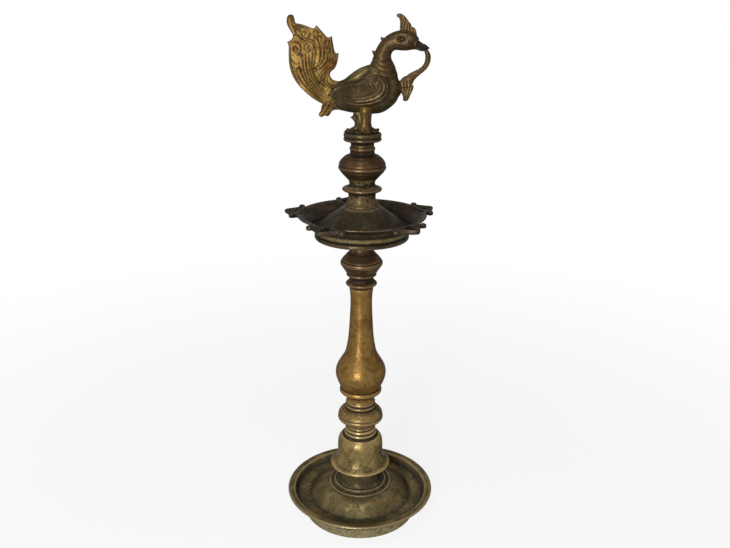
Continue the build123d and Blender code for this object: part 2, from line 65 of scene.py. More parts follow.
# Base pan. The widest casting: a ring foot, a drip pan with a flat rim band, and a domed middle
# that rises through two turned rings to the neck. Cast in bell brass and finished on a lathe.
def corner(node, which):
    """Lowest (0) or highest (1) corner of a CAD node's box, in mm."""
    return np.array(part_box(node)[which]) / mm


def rounded(corners, step=2.2, fine=0.7):
    """Profile through (across, up, easing) corners: each corner is cut back by its easing along both of
    its sides, at most to their middles, and a parabola joins the two cuts; straight runs are divided."""
    corners = np.array(corners, float)
    rows = [corners[0, :2]]
    ends = corners[:, :2]
    for at in range(1, len(corners) - 1):
        back, ahead = ends[at - 1] - ends[at], ends[at + 1] - ends[at]
        lengths = np.linalg.norm(back), np.linalg.norm(ahead)
        cuts = [min(corners[at, 2], length / 2) for length in lengths]
        first = ends[at] + back * cuts[0] / lengths[0]
        last = ends[at] + ahead * cuts[1] / lengths[1]
        count = int(np.clip(sum(cuts) / fine, 3, 40))
        s = np.linspace(0, 1, count)[:, None]
        rows.extend((1 - s) ** 2 * first + 2 * s * (1 - s) * ends[at] + s**2 * last)
    rows.append(ends[-1])
    rows = np.array(rows)
    keep = np.append(True, np.linalg.norm(np.diff(rows, axis=0), axis=1) > 1e-4)
    rows = rows[keep]
    divided = []
    for here, there in zip(rows[:-1], rows[1:]):
        count = max(1, int(np.linalg.norm(there - here) / step))
        divided.extend(here + (there - here) * np.arange(count)[:, None] / count)
    return np.array(divided + [rows[-1]])


def smoothed(values, lengths, width):
    """Values along a line averaged with a bell-shaped weight of that width, in mm of its length."""
    gap = (lengths[:, None] - lengths[None, :]) / width
    weight = np.exp(-(gap**2)) * np.gradient(lengths)[None, :]
    return weight @ values / weight.sum(1, keepdims=True)


def standing_proud(profile, near, far):
    """How much each profile point stands out from its surroundings, from 0 in a groove to 1 on an edge:
    its distance outside the profile averaged over a near and a far width."""
    steps = np.linalg.norm(np.diff(profile, axis=0), axis=1)
    lengths = np.append(0, np.cumsum(steps))
    along = np.gradient(profile, axis=0)
    along /= np.linalg.norm(along, axis=1, keepdims=True) + 1e-9
    outward = np.stack([along[:, 1], -along[:, 0]], 1)
    near_rise = ((profile - smoothed(profile, lengths, near)) * outward).sum(1) / near
    far_rise = ((profile - smoothed(profile, lengths, far)) * outward).sum(1) / far
    return np.clip(0.5 + 1.6 * near_rise + 0.8 * far_rise, 0, 1)


def make_piece(node, points, quads, triangles, wear, body, slot, finish):
    """Smooth mesh from points in mm and the corner numbers of its faces, with its wear kept per point. It
    rides on a body, stands for the CAD node of its name and takes that finish."""
    name = f"{node}_brass"
    mesh = bpy.data.meshes.new(name)
    mesh.vertices.add(len(points))
    mesh.vertices.foreach_set("co", (points * mm).astype(np.float32).ravel())
    corners = np.concatenate([np.ravel(quads), np.ravel(triangles)]).astype(np.int32)
    starts = np.concatenate([np.arange(len(quads)) * 4, len(quads) * 4 + np.arange(len(triangles)) * 3])
    mesh.loops.add(len(corners))
    mesh.loops.foreach_set("vertex_index", corners)
    mesh.polygons.add(len(starts))
    mesh.polygons.foreach_set("loop_start", starts.astype(np.int32))
    mesh.update(calc_edges=True)
    mesh.validate()
    mesh.polygons.foreach_set("use_smooth", np.ones(len(mesh.polygons), bool))
    layer = mesh.attributes.new("wear", "FLOAT", "POINT")
    layer.data.foreach_set("value", np.asarray(wear, np.float32))
    mesh.materials.append(finish)
    piece = bpy.data.objects.new(name, mesh)
    bpy.context.scene.collection.objects.link(piece)
    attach(piece, body)
    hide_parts(node)


def wavering(angle, height, depth, seed):
    """Depth of the hollows that casting and filing leave: five slow waves round and up the piece, each of a
    drawn size and phase, from 0 to depth."""
    draw = np.random.default_rng(seed)
    total = np.zeros(np.broadcast(angle, height).shape)
    for turns in (1, 2, 3, 5, 7):
        rise = draw.uniform(-1, 1) / 22
        total += np.sin(turns * angle + rise * height + draw.uniform(0, 2 * math.pi)) / turns**0.7
    return depth * np.clip(0.5 + total / 4.5, 0, 1)


def turned(node, profile, body, slot, finish, seed, hollows=0.25, segments=224, thread=None):
    """Surface of revolution: the profile of (radius, height) points, from the axis round the outside and
    back to the axis, is carried round it. Hollows only take metal off. A thread is (lowest, highest,
    radius, depth, pitch): between those heights the radius falls by a rounded saw that climbs one pitch
    a turn."""
    angle = np.arange(segments) * 2 * math.pi / segments
    inner = profile[1:-1]
    proud = standing_proud(profile, 1.6, 7.0)
    radius = np.repeat(inner[:, :1], segments, 1)
    height = np.repeat(inner[:, 1:], segments, 1)
    radius = radius - wavering(angle[None, :], inner[:, 1:], hollows, seed) * np.clip(radius / 30, 0, 1)
    if thread:
        low, high, at, depth, pitch = thread
        ramp = np.clip(np.minimum(height - low, high - height) / 1.5, 0, 1)
        ramp = ramp * (np.abs(inner[:, :1] - at) < 0.5)
        turn = (height / pitch - angle[None, :] / (2 * math.pi)) % 1
        radius = radius - depth * ramp * (0.5 - 0.5 * np.cos(2 * math.pi * turn))
    ring = np.stack([radius * np.cos(angle), radius * np.sin(angle), height], 2).reshape(-1, 3)
    points = np.concatenate([[[0, 0, profile[0, 1]]], ring, [[0, 0, profile[-1, 1]]]])
    row, column = np.meshgrid(np.arange(len(inner) - 1), np.arange(segments), indexing="ij")
    first = 1 + row * segments + column
    next_column = 1 + row * segments + (column + 1) % segments
    quads = np.stack([first, next_column, next_column + segments, first + segments], 2).reshape(-1, 4)
    around = np.arange(segments)
    ahead = (around + 1) % segments
    last_ring = 1 + (len(inner) - 1) * segments
    lower = np.stack([np.zeros(segments, int), 1 + ahead, 1 + around], 1)
    upper = np.stack([np.full(segments, len(points) - 1), last_ring + around, last_ring + ahead], 1)
    wear = np.concatenate([[0.5], np.repeat(proud[1:-1], segments), [0.5]])
    make_piece(node, points, quads, np.concatenate([lower, upper]), wear, body, slot, finish)


def put(tree, kind, **values):
    """Add a shader node, setting its properties and, by name or number, its inputs."""
    node = tree.nodes.new(kind)
    for key, value in values.items():
        if key.startswith("in_"):
            at = key[3:]
            node.inputs[int(at) if at.isdigit() else at.replace("_", " ")].default_value = value
        else:
            setattr(node, key, value)
    return node


def tinted(colour, *factors):
    """The colour with each of its channels times a factor."""
    return tuple(channel * factor for channel, factor in zip(colour, factors))


def aged_brass(
    name, rubbed, patina, grime, share=0.5, blotch=34, shine=0.29, dull=0.45, pits=0.5, green=0.0, stain=0.45,
    edges=0.75, bands=(),
):
    """Old brass: slow blotches of bare rubbed metal in a brown patina, olive mottling at the size of a
    fingertip, dark pits at the size of a pinhead, grime where the wear attribute is low and bare metal
    where it is high, and on the highest ridges a painted highlight, brighter and paler than rubbed metal.
    Rubbed metal is smoother and more metallic than the patina, and the patina than grime. share is how
    much is rubbed, blotch the blotches per metre, shine and dull the roughness of rubbed metal and of
    patina, pits the strength of the pits, green the verdigris, stain the red-brown stains and the edge
    argument the strength of the worn ridges and their painted highlight. Each band, (low, high, colour,
    strength), is brighter between two heights."""
    material = bpy.data.materials.new(name)
    material.use_nodes = True
    tree = material.node_tree
    tree.nodes.clear()
    link = tree.links.new
    place = put(tree, "ShaderNodeTexCoord").outputs["Object"]

    def noise(scale, detail, rough=0.55, twist=0.0):
        node = put(tree, "ShaderNodeTexNoise", in_Scale=scale, in_Detail=detail)
        node.inputs["Roughness"].default_value = rough
        node.inputs["Distortion"].default_value = twist
        link(place, node.inputs["Vector"])
        return node.outputs["Fac"]

    def stretch(value, low, high, to_low=0.0, to_high=1.0):
        node = put(tree, "ShaderNodeMapRange", interpolation_type="SMOOTHSTEP", in_1=low, in_2=high)
        node.inputs[3].default_value = to_low
        node.inputs[4].default_value = to_high
        link(value, node.inputs[0])
        return node.outputs[0]

    def maths(how, one, other):
        node = put(tree, "ShaderNodeMath", operation=how)
        for socket, value in zip(node.inputs, (one, other)):
            if isinstance(value, (int, float)):
                socket.default_value = value
            else:
                link(value, socket)
        return node.outputs[0]

    def blend(amount, under, over):
        node = put(tree, "ShaderNodeMix", data_type="RGBA")
        link(amount, node.inputs[0])
        for socket, value in ((node.inputs[6], under), (node.inputs[7], over)):
            if isinstance(value, tuple):
                socket.default_value = (*value, 1)
            else:
                link(value, socket)
        return node.outputs[2]

    wear = put(tree, "ShaderNodeAttribute", attribute_name="wear").outputs["Fac"]
    slow = noise(blotch, 5.0, 0.6, 0.4)
    middle = noise(blotch * 4.2, 4.0, 0.62, 0.6)
    small = noise(blotch * 16, 3.0, 0.6)
    tiny = noise(1500, 2.0)
    bare = maths("ADD", maths("MULTIPLY", slow, 0.9), maths("MULTIPLY", middle, 0.55))
    bare = maths("ADD", bare, maths("MULTIPLY", small, 0.3))
    bare = maths("ADD", bare, maths("MULTIPLY", maths("SUBTRACT", wear, 0.5), 0.55))
    middle_of = 0.875 + (0.5 - share) * 0.5
    bare = stretch(bare, middle_of - 0.22, middle_of + 0.22)
    dirt = stretch(maths("ADD", wear, maths("MULTIPLY", maths("SUBTRACT", middle, 0.5), 0.35)), 0.46, 0.2)
    pit = stretch(maths("ADD", noise(330, 2.0, 0.5), maths("MULTIPLY", slow, 0.35)), 0.84, 0.93, 0.0, pits)
    # Mask of the highest ridges: worn bare, and where the painted highlight goes.
    edge = stretch(wear, 0.62, 0.85, 0.0, edges)
    olive = tinted(patina, 0.86, 1.02, 0.82)
    ruddy = tinted(patina, 1.12, 0.86, 0.78)
    colour = blend(stretch(middle, 0.4, 0.62), olive, ruddy)
    colour = blend(bare, colour, rubbed)
    stained = stretch(noise(blotch * 1.7, 4.0, 0.65, 1.2), 0.5, 0.66, 0.0, stain)
    colour = blend(stained, colour, tinted(rubbed, 0.62, 0.4, 0.36))
    level = put(tree, "ShaderNodeSeparateXYZ")
    link(place, level.inputs[0])
    # Bands of brighter colour between two heights. On the dish's drum and the stem's ring they are partly a
    # painted highlight, and on the base's foot partly painted light.
    for low, high, shade, strength in bands:
        within = maths("MULTIPLY", stretch(level.outputs[2], (low - 2) * mm, (low + 2) * mm), strength)
        within = maths("MULTIPLY", within, stretch(level.outputs[2], (high + 2) * mm, (high - 2) * mm))
        colour = blend(maths("MULTIPLY", within, stretch(middle, 0.34, 0.58, 0.3, 1.0)), colour, shade)
    colour = blend(stretch(small, 0.5, 0.74, 0.0, 0.36), colour, grime)
    # Painted highlight on the worn ridges: rubbed colour made brighter and paler than bare metal.
    colour = blend(edge, colour, tinted(rubbed, 1.3, 1.32, 1.5))
    colour = blend(dirt, colour, grime)
    colour = blend(pit, colour, tinted(grime, 0.45, 0.45, 0.45))
    if green:
        crust = maths("ADD", middle, maths("MULTIPLY", maths("SUBTRACT", 0.6, wear), 0.5))
        colour = blend(stretch(crust, 0.55, 0.72, 0.0, green), colour, (0.1, 0.11, 0.085))
    shader = put(tree, "ShaderNodeBsdfPrincipled")
    shader.inputs["Specular Tint"].default_value = (0.12, 0.11, 0.09, 1)
    link(stretch(bare, 0, 1, 0.05, 0.12), shader.inputs["Specular IOR Level"])
    cover = maths("MAXIMUM", dirt, pit)
    link(colour, shader.inputs["Base Color"])
    metallic = maths("SUBTRACT", stretch(bare, 0, 1, 0.42, 0.62), maths("MULTIPLY", cover, 0.3))
    link(metallic, shader.inputs["Metallic"])
    ripple = maths("MULTIPLY", maths("SUBTRACT", small, 0.5), 0.16)
    rough = maths("ADD", stretch(bare, 0, 1, dull, shine), ripple)
    link(maths("ADD", rough, maths("MULTIPLY", cover, 0.12)), shader.inputs["Roughness"])
    height = maths("ADD", maths("MULTIPLY", middle, 1.6), maths("MULTIPLY", small, 0.26))
    height = maths("ADD", height, maths("MULTIPLY", tiny, 0.05))
    height = maths("SUBTRACT", height, maths("MULTIPLY", pit, 0.6))
    bump = put(tree, "ShaderNodeBump", in_Strength=0.42, in_Distance=0.0007)
    link(height, bump.inputs["Height"])
    link(bump.outputs[0], shader.inputs["Normal"])
    out = put(tree, "ShaderNodeOutputMaterial")
    link(shader.outputs[0], out.inputs["Surface"])
    return material


base_high = corner("base_pan", 1)
rim = base_high[0]
base_top = base_high[2]
rim_top = 47.0
pan_floor = rim_top - 14.0
foot = rim - 31.9
socket_gap = 0.3
socket_relief = 2
bell_spigot_radius = 25
bell_spigot = -corner("bell", 0)[2] + base_top
base_profile = rounded(
    [
        (0, 63, 0), (35.5, 63, 6), (56.6, 52.5, 8), (76, 44.5, 10), (90, 32.5, 6), (95, 28.5, 4),
        (98.6, 28.5, 2), (101.2, 26, 3), (foot - 4.6, 19, 3), (foot - 4.6, 0, 0.8), (foot - 0.4, 0, 1.4),
        (foot + 0.2, 6, 4), (foot + 1.4, 17, 4), (foot + 3.4, 23, 5), (foot + 10, 27.5, 4),
        (foot + 18.5, 33.5, 5), (rim - 10.5, rim_top - 4.6, 2.4), (rim - 1.4, rim_top - 4.4, 1.4),
        (rim, rim_top - 3.2, 1.6), (rim, rim_top - 1.2, 1.4), (rim - 2.2, rim_top, 1.8),
        (rim - 8, rim_top - 0.2, 3), (rim - 12.6, rim_top - 0.4, 1.2), (rim - 14.6, rim_top - 2.6, 1.6),
        (rim - 16.6, rim_top - 8, 3), (rim - 18.6, pan_floor + 1.2, 3.4), (rim - 24, pan_floor, 4),
        (100, pan_floor - 0.2, 3), (95.5, pan_floor + 0.4, 2.6), (91.5, pan_floor + 4, 3),
        (84, pan_floor + 11.2, 8), (73, pan_floor + 19, 8), (61.6, pan_floor + 23.2, 1.4),
        (60.6, pan_floor + 23.0, 0.6), (59.6, pan_floor + 24.6, 0.8), (58.2, pan_floor + 25.8, 1.2),
        (56.2, pan_floor + 25.6, 1.0), (54.6, pan_floor + 24.9, 2.0), (50.6, pan_floor + 26.4, 1.6),
        (49.6, pan_floor + 28.2, 0.8), (48.2, pan_floor + 29.7, 1.2), (46.2, pan_floor + 29.8, 0.9),
        (45.2, pan_floor + 29.4, 0.6), (42.6, pan_floor + 31.6, 3), (40.2, pan_floor + 34.6, 3),
        (39.6, pan_floor + 41, 6), (39.5, base_top, 0.5), (bell_spigot_radius + socket_gap, base_top, 0.6),
        (bell_spigot_radius + socket_gap, base_top - bell_spigot - socket_relief, 1.0),
        (0, base_top - bell_spigot - socket_relief, 0),
    ]
)
base_brass = aged_brass(
    "base_brass", (0.1901, 0.1426, 0.0628), (0.0719, 0.0589, 0.0324), (0.0346, 0.0311, 0.023),
    # The foot ring is painted paler: pale dusty brass, plus painted light on its upright wall, which faces
    # the lamp.
    share=0.42, dull=0.43, green=0.15, bands=((-4, 30, (0.34, 0.29, 0.16), 0.8),),
)
turned("base_pan", base_profile, "base", "aged_brass_base", base_brass, seed=3, hollows=0.5, segments=240)


# Bell. A cylindrical section with a flared, double-beaded lip below and two beads under its neck,
# turned from one casting. Its spigot screws into the base's neck.
thread_depth = 0.7
thread_pitch = 2.5


def screwed_section(
    node, seat, spigot, next_spigot, next_length, outside, body, slot, finish, seed, hollows=0.25
):
    """Turned section: its profile is the threaded spigot from the axis, the outside as steps (across, up
    from the seat, easing), and the socket for the next section down to the axis."""
    low, high = corner(node, 0)[2], corner(node, 1)[2]
    tip = [(0, low, 0), (spigot - 1.2, low, 0.5), (spigot, low + 1.2, 0.5), (spigot, low + 2, 0)]
    threaded = np.arange(low + 2.3, seat - 1.2, 0.3)
    steps = [(spigot, seat - 1, 0), (spigot, seat, 0.3)]
    steps += [(across, seat + up, ease) for across, up, ease in outside]
    if next_spigot:
        bore = next_spigot + socket_gap
        floor = high - next_length - socket_relief
        steps += [(bore, high, 0.6), (bore, floor, 1), (0, floor, 0)]
    spigot_side = np.stack([np.full_like(threaded, spigot), threaded], 1)
    profile = np.concatenate([rounded(tip), spigot_side, rounded(steps)])
    thread = (low + 1.5, seat - 2.0, spigot, thread_depth, thread_pitch)
    turned(node, profile, body, slot, finish, seed, hollows, thread=thread)


def seat_of(node):
    """Height of the top of a CAD node, where the next section sits."""
    return corner(node, 1)[2]


bell_seat = base_top
bell_top = seat_of("bell")
lip = corner("bell", 1)[0]
knop_spigot_radius = 16.0
knop_spigot = bell_top - corner("ring_knop", 0)[2]
bell_outside = [
    (39.4, 0, 0.6), (40.6, 2.2, 1.2), (45.4, 3.0, 1.4), (lip - 6.4, 2.6, 0.8), (lip - 4.4, 2.9, 0.8),
    (lip - 3.8, 4.6, 1.0), (lip - 4.8, 6.0, 0.7), (lip - 3.2, 6.2, 0.5), (lip - 0.8, 6.4, 0.9),
    (lip, 8.0, 1.2), (lip - 0.8, 9.8, 1.0), (lip - 2.6, 10.4, 0.8), (lip - 3.2, 11.4, 0.6),
    (lip - 6.2, 12.6, 3), (lip - 9.6, 16.4, 4), (lip - 12.4, 22, 5), (lip - 13.7, 30, 7),
    (lip - 13.7, 50, 8), (lip - 14.6, 58, 6), (lip - 17.6, 64.4, 5), (lip - 20.6, 67.3, 1.4),
    (lip - 21.5, 67.6, 0.5), (lip - 22.4, 67.0, 0.6), (lip - 26.4, 68.7, 2.4), (lip - 26.9, 70.3, 0.8),
    (30.3, 71.0, 1.2), (30.4, 74.8, 1.8), (27.2, 75.9, 1.0), (26.6, 76.9, 0.8), (28.4, 77.6, 1.4),
    (29.0, 80.6, 2.0), (27.6, 83.4, 1.6), (25.1, 84.1, 0.8), (25.0, bell_top - bell_seat, 0.4),
]
bell_brass = aged_brass(
    "bell_brass", (0.294, 0.2129, 0.0863), (0.0848, 0.063, 0.0304), (0.0342, 0.0296, 0.0205),
    share=0.55, dull=0.43,
)
screwed_section(
    "bell", bell_seat, bell_spigot_radius, knop_spigot_radius, knop_spigot, bell_outside,
    "bell_section", "aged_brass_bell", bell_brass, seed=5,
)


# Ring knop. A flattened knop with a grooved ridge round its widest part and small rings above it, cast
# and turned. Its spigot screws into the bell.
knop_seat = bell_top
knop_top = seat_of("ring_knop")
ridge = corner("ring_knop", 1)[0]
column_spigot_radius = 16.0
column_spigot = knop_top - corner("column", 0)[2]
knop_outside = [
    (25.0, 0, 0.5), (25.0, 5.6, 3), (26.0, 8.6, 2), (29.0, 10.0, 1.2), (33.0, 10.4, 0.8), (35.4, 10.8, 0.8),
    (36.6, 12.2, 0.6), (36.0, 13.0, 0.5), (38.2, 13.4, 0.8), (ridge - 1.2, 15.6, 2.2), (ridge, 19.0, 2.0),
    (ridge - 0.4, 21.8, 1.2), (ridge - 1.0, 22.6, 0.4), (ridge - 1.9, 23.2, 0.3), (ridge - 1.1, 24.0, 0.4),
    (ridge - 1.2, 27.4, 2.6), (ridge - 4.4, 32.6, 3), (ridge - 8.8, 36.0, 1.6), (ridge - 10.4, 36.6, 0.6),
    (ridge - 11.0, 37.6, 0.6), (ridge - 13.6, 38.4, 1.4), (ridge - 14.6, 40.0, 1.0), (28.7, 41.6, 1.4),
    (28.9, 44.4, 1.6), (26.6, 46.0, 1.2), (25.8, 47.3, 1.0), (27.2, 48.4, 1.4), (27.7, 51.2, 1.8),
    (26.2, 53.6, 1.4), (25.6, 54.4, 0.8), (25.5, knop_top - knop_seat, 0.4),
]
knop_brass = aged_brass(
    "ring_knop_brass", (0.236, 0.159, 0.0656), (0.0856, 0.0606, 0.0311), (0.0319, 0.0262, 0.0182),
    share=0.45, dull=0.43,
)
screwed_section(
    "ring_knop", knop_seat, knop_spigot_radius, column_spigot_radius, column_spigot, knop_outside,
    "ring_knop_section", "aged_brass_ring_knop", knop_brass, seed=7,
)


# Column. Cup ring, vase-shaped bulb and a long taper to a waist under the flared top: the part that
# hands hold, so it is rubbed to the brightest gold on the lamp, with dark pits left from casting.
column_seat = knop_top
column_top = seat_of("column")
bulb = corner("column", 1)[0]
upper_spigot_radius = 13.0
upper_spigot = column_top - corner("upper_knop", 0)[2]
column_outside = [
    (25.5, 0, 0.4), (25.4, 5.6, 3), (26.4, 9.8, 2.4), (29.8, 12.2, 1.6), (33.6, 13.6, 1.0),
    (34.4, 15.0, 0.6), (37.4, 15.4, 1.4), (39.3, 18.4, 1.8), (38.8, 22.4, 1.6), (37.4, 24.0, 0.6),
    (36.2, 24.2, 0.4), (36.9, 26.0, 1.0), (40.6, 34.4, 8), (44.6, 43.8, 8), (bulb, 52.4, 8),
    (bulb, 59.0, 8), (bulb - 2.2, 68.6, 10), (bulb - 9.2, 80.6, 14), (bulb - 17.2, 93.6, 14),
    (26.0, 106.6, 14), (22.8, 126.6, 16), (20.7, 160.6, 20), (19.4, 186.6, 16), (19.5, 203.6, 10),
    (20.7, 213.6, 5), (21.4, column_top - column_seat, 0.5),
]
column_brass = aged_brass(
    "column_brass", (0.2198, 0.1323, 0.038), (0.1139, 0.0647, 0.0218), (0.0339, 0.0225, 0.0133),
    share=0.6, pits=0.85, shine=0.31, dull=0.43, stain=0.75,
)
screwed_section(
    "column", column_seat, column_spigot_radius, upper_spigot_radius, upper_spigot, column_outside,
    "column_section", "aged_brass_column", column_brass, seed=11, hollows=0.35,
)


# Upper knop. Collar ring, neck and a full knop with a raised ridge: darker, because it is under the
# dish's drips and soot.
upper_seat = column_top
upper_top = seat_of("upper_knop")
full = corner("upper_knop", 1)[0]
stem_spigot_radius = 11.0
stem_reach = 20.0
upper_outside = [
    (21.4, 0, 0.4), (21.3, 2.2, 1.0), (22.4, 3.8, 0.9), (24.2, 4.2, 0.5), (24.7, 5.4, 0.6),
    (26.8, 6.2, 1.0), (28.2, 8.2, 1.2), (27.4, 10.6, 1.2), (25.4, 11.6, 0.6), (24.9, 12.6, 0.6),
    (23.4, 13.4, 1.4), (21.4, 17.6, 2), (21.1, 20.4, 1.4), (22.0, 22.4, 1.0), (24.8, 23.0, 1.0),
    (27.0, 24.6, 1.2), (26.8, 27.6, 1.0), (26.2, 28.6, 0.6), (28.6, 31.8, 3), (32.4, 37.4, 4),
    (full - 1.2, 43.0, 1.4), (full, 45.0, 1.2), (full, 49.0, 1.2), (full - 1.0, 50.8, 0.7),
    (full - 2.9, 51.4, 0.5), (full - 2.3, 52.8, 0.6), (full - 5.4, 56.8, 3), (full - 9.4, 61.0, 2.4),
    (full - 12.0, 64.2, 0.8), (full - 13.2, 64.6, 0.5), (full - 14.0, 65.8, 0.8), (full - 16.2, 69.4, 2),
    (20.0, 76.4, 4), (20.0, upper_top - upper_seat, 0.5),
]
upper_brass = aged_brass(
    "upper_knop_brass", (0.1344, 0.0816, 0.0394), (0.0475, 0.0319, 0.019), (0.0173, 0.0144, 0.0115), share=0.4
)
screwed_section(
    "upper_knop", upper_seat, upper_spigot_radius, stem_spigot_radius, stem_reach, upper_outside,
    "upper_knop_section", "dark_brass_upper_knop", upper_brass, seed=13,
)


# Oil dish. A ringed drum, a wall that flares to a thin lip, and an inner cone that rises to the stem's
# seat, so that the oil lies in the ring between them. Blackened inside by oil and soot.
dish_seat = upper_top
dish_lip = dish_seat + 40
stem_seat = seat_of("oil_dish")
lip_radius = 112.0
drum = 81.5
hub = 24.0
dish_profile = rounded(
    [
        (stem_spigot_radius + socket_gap, dish_seat, 0), (hub, dish_seat, 1), (hub, dish_seat + 48.6, 2),
        (drum - 5.6, dish_seat + 11.8, 3), (drum - 4.2, dish_seat + 8.4, 2),
        (drum - 4.0, dish_seat - 2.4, 0.6), (drum - 1.0, dish_seat - 2.4, 0.7),
        (drum + 0.5, dish_seat - 1.2, 1.2), (drum + 0.9, dish_seat + 1.6, 1.4),
        (drum + 0.2, dish_seat + 4.6, 1.0), (drum - 1.0, dish_seat + 5.4, 0.5),
        (drum - 1.4, dish_seat + 7.0, 0.7), (drum - 0.2, dish_seat + 8.0, 0.8),
        (drum + 0.9, dish_seat + 10.4, 2), (drum + 1.7, dish_seat + 15.6, 3),
        (drum + 2.6, dish_seat + 19.0, 2), (drum + 8.6, dish_seat + 27.6, 5),
        (lip_radius - 8, dish_seat + 33.8, 4), (lip_radius - 1.2, dish_seat + 37.0, 0.8),
        (lip_radius, dish_lip - 1.4, 1.0), (lip_radius - 1.2, dish_lip, 1.0),
        (lip_radius - 7.4, dish_lip - 0.7, 1.6), (lip_radius - 10.6, dish_lip - 3.4, 2.4),
        (drum + 10.6, dish_lip - 10.8, 6), (drum + 4.0, dish_seat + 19.2, 3),
        (drum + 1.6, dish_seat + 16.6, 1.6), (drum - 3.4, dish_seat + 18.6, 2), (58, dish_seat + 34.6, 8),
        (34, dish_seat + 50.6, 4), (31.6, dish_seat + 53.2, 0.8), (29.6, stem_seat, 0.8),
        (stem_spigot_radius + socket_gap, stem_seat, 0), (stem_spigot_radius + socket_gap, dish_seat, 0),
    ]
)
dish_brass = aged_brass(
    "dish_brass", (0.0845, 0.0594, 0.0336), (0.0297, 0.0249, 0.0181), (0.0139, 0.0125, 0.0101),
    share=0.3, shine=0.27, edges=0.3,
    # Bands: the drum's reddish lower edge and its convex band are rubbed brass with a painted highlight where
    # they face the lamp; the third band is paler brass on the top of the inner cone.
    bands=(
        (dish_seat - 4, dish_seat - 0.5, (0.2, 0.115, 0.05), 0.6),
        (dish_seat + 9.5, dish_seat + 15, (0.29, 0.215, 0.09), 0.62),
        (dish_seat + 50, dish_seat + 60, (0.2, 0.15, 0.08), 0.45),
    ),
)


def eased(value, low, high):
    """Smooth step from 0 at low to 1 at high."""
    share = np.clip((value - low) / (high - low), 0, 1)
    return share * share * (3 - 2 * share)


def turned_ring(node, profile, body, slot, finish, seed, cut, hollows=0.25, segments=360):
    """Ring of revolution: a closed profile of (radius, height) points is carried round the axis. The cut
    gives the greatest height at each (angle, radius)."""
    angle = np.arange(segments) * 2 * math.pi / segments
    loop = profile[:-1]
    proud = standing_proud(profile, 1.6, 7.0)[:-1]
    radius = np.repeat(loop[:, :1], segments, 1)
    radius = radius - wavering(angle[None, :], loop[:, 1:], hollows, seed) * (radius > 20)
    height = np.minimum(np.repeat(loop[:, 1:], segments, 1), cut(angle[None, :], radius))
    points = np.stack([radius * np.cos(angle), radius * np.sin(angle), height], 2).reshape(-1, 3)
    row, column = np.meshgrid(np.arange(len(loop)), np.arange(segments), indexing="ij")
    above = (row + 1) % len(loop)
    ahead = (column + 1) % segments
    here, beside = row * segments + column, row * segments + ahead
    over, over_beside = above * segments + column, above * segments + ahead
    quads = np.stack([here, beside, over_beside, over], 2).reshape(-1, 4)
    make_piece(node, points, quads, np.zeros((0, 3), int), np.repeat(proud, segments), body, slot, finish)


spout_count = 5
first_spout = math.radians(24.2)
channel_depth = 2.6


def spout_openings(angle, radius):
    """Height to which the lip is cut down where a spout begins: within the spout's width it falls below the
    scoop, and along the spout's middle below the wick channel."""
    sector = 2 * math.pi / spout_count
    off = (angle - first_spout + sector / 2) % sector - sector / 2
    across = np.abs(radius * np.sin(off))
    opening = eased(across, 27.5, 24.5) * eased(radius, 99, 103)
    groove = eased(across, 7.0, 5.0) * eased(radius, 99, 103)
    return dish_lip + 15 * (radius < 98) - 3.3 * opening - channel_depth * groove


turned_ring(
    "oil_dish", dish_profile, "dish_section", "dark_brass_dish", dish_brass, seed=17, cut=spout_openings
)


# Upper stem. Flared foot, thin ring, double-ridged knop and bead, with the long spigot that passes
# through the dish and clamps it to the knop below.
stem_top = seat_of("upper_stem")
stem_knop = corner("upper_stem", 1)[0]
perch_spigot_radius = 10.0
perch_spigot = stem_top - corner("perch", 0)[2]
stem_outside = [
    (29.5, 0, 0.5), (29.4, 1.4, 0.6), (28.4, 3.0, 0.8), (26.8, 4.2, 0.8), (24.8, 7.6, 2), (23.4, 13.6, 3),
    (23.6, 20.0, 2), (24.4, 23.6, 1.6), (27.4, 25.0, 1.0), (31.4, 26.0, 1.2), (34.2, 27.8, 1.2),
    (34.2, 30.4, 1.2), (32.0, 31.9, 1.0), (28.2, 32.6, 1.4), (24.4, 34.8, 1.4), (22.2, 37.6, 1.0),
    (22.2, 41.6, 1.6), (23.8, 45.0, 2.4), (28.6, 50.0, 3), (34.4, 56.2, 3), (stem_knop - 3.2, 60.2, 1.0),
    (stem_knop - 3.6, 61.4, 0.5), (stem_knop - 2.0, 62.2, 0.7), (stem_knop, 65.8, 1.6),
    (stem_knop - 0.6, 69.0, 1.2), (stem_knop - 2.0, 70.2, 0.5), (stem_knop - 1.2, 71.2, 0.6),
    (stem_knop - 1.6, 74.0, 1.6), (stem_knop - 4.6, 79.2, 3), (stem_knop - 8.6, 83.0, 1.2),
    (stem_knop - 9.6, 83.4, 0.4), (stem_knop - 10.2, 84.4, 0.6), (stem_knop - 13.2, 86.6, 1.4),
    (22.8, 87.8, 1.0), (21.2, 89.6, 1.2), (20.9, 93.0, 1.4), (20.3, 94.4, 0.6), (21.4, 95.4, 1.0),
    (22.0, 98.4, 1.6), (21.0, 101.0, 1.0), (19.9, 101.6, 0.5), (19.8, stem_top - stem_seat, 0.4),
]
stem_brass = aged_brass(
    "upper_stem_brass", (0.0961, 0.0575, 0.0274), (0.0322, 0.0206, 0.012), (0.0164, 0.0134, 0.0098),
    share=0.36,
    # Bands: paler brass on the lower neck; over the ring and the neck above it, golden brass with a painted
    # highlight.
    bands=(
        (dish_lip + 18, dish_lip + 42, (0.2, 0.145, 0.07), 0.6),
        (dish_lip + 44, dish_lip + 62, (0.32, 0.22, 0.1), 0.75),
    ),
)
screwed_section(
    "upper_stem", stem_seat, stem_spigot_radius, perch_spigot_radius, perch_spigot, stem_outside,
    "upper_stem_section", "dark_brass_upper_stem", stem_brass, seed=19,
)


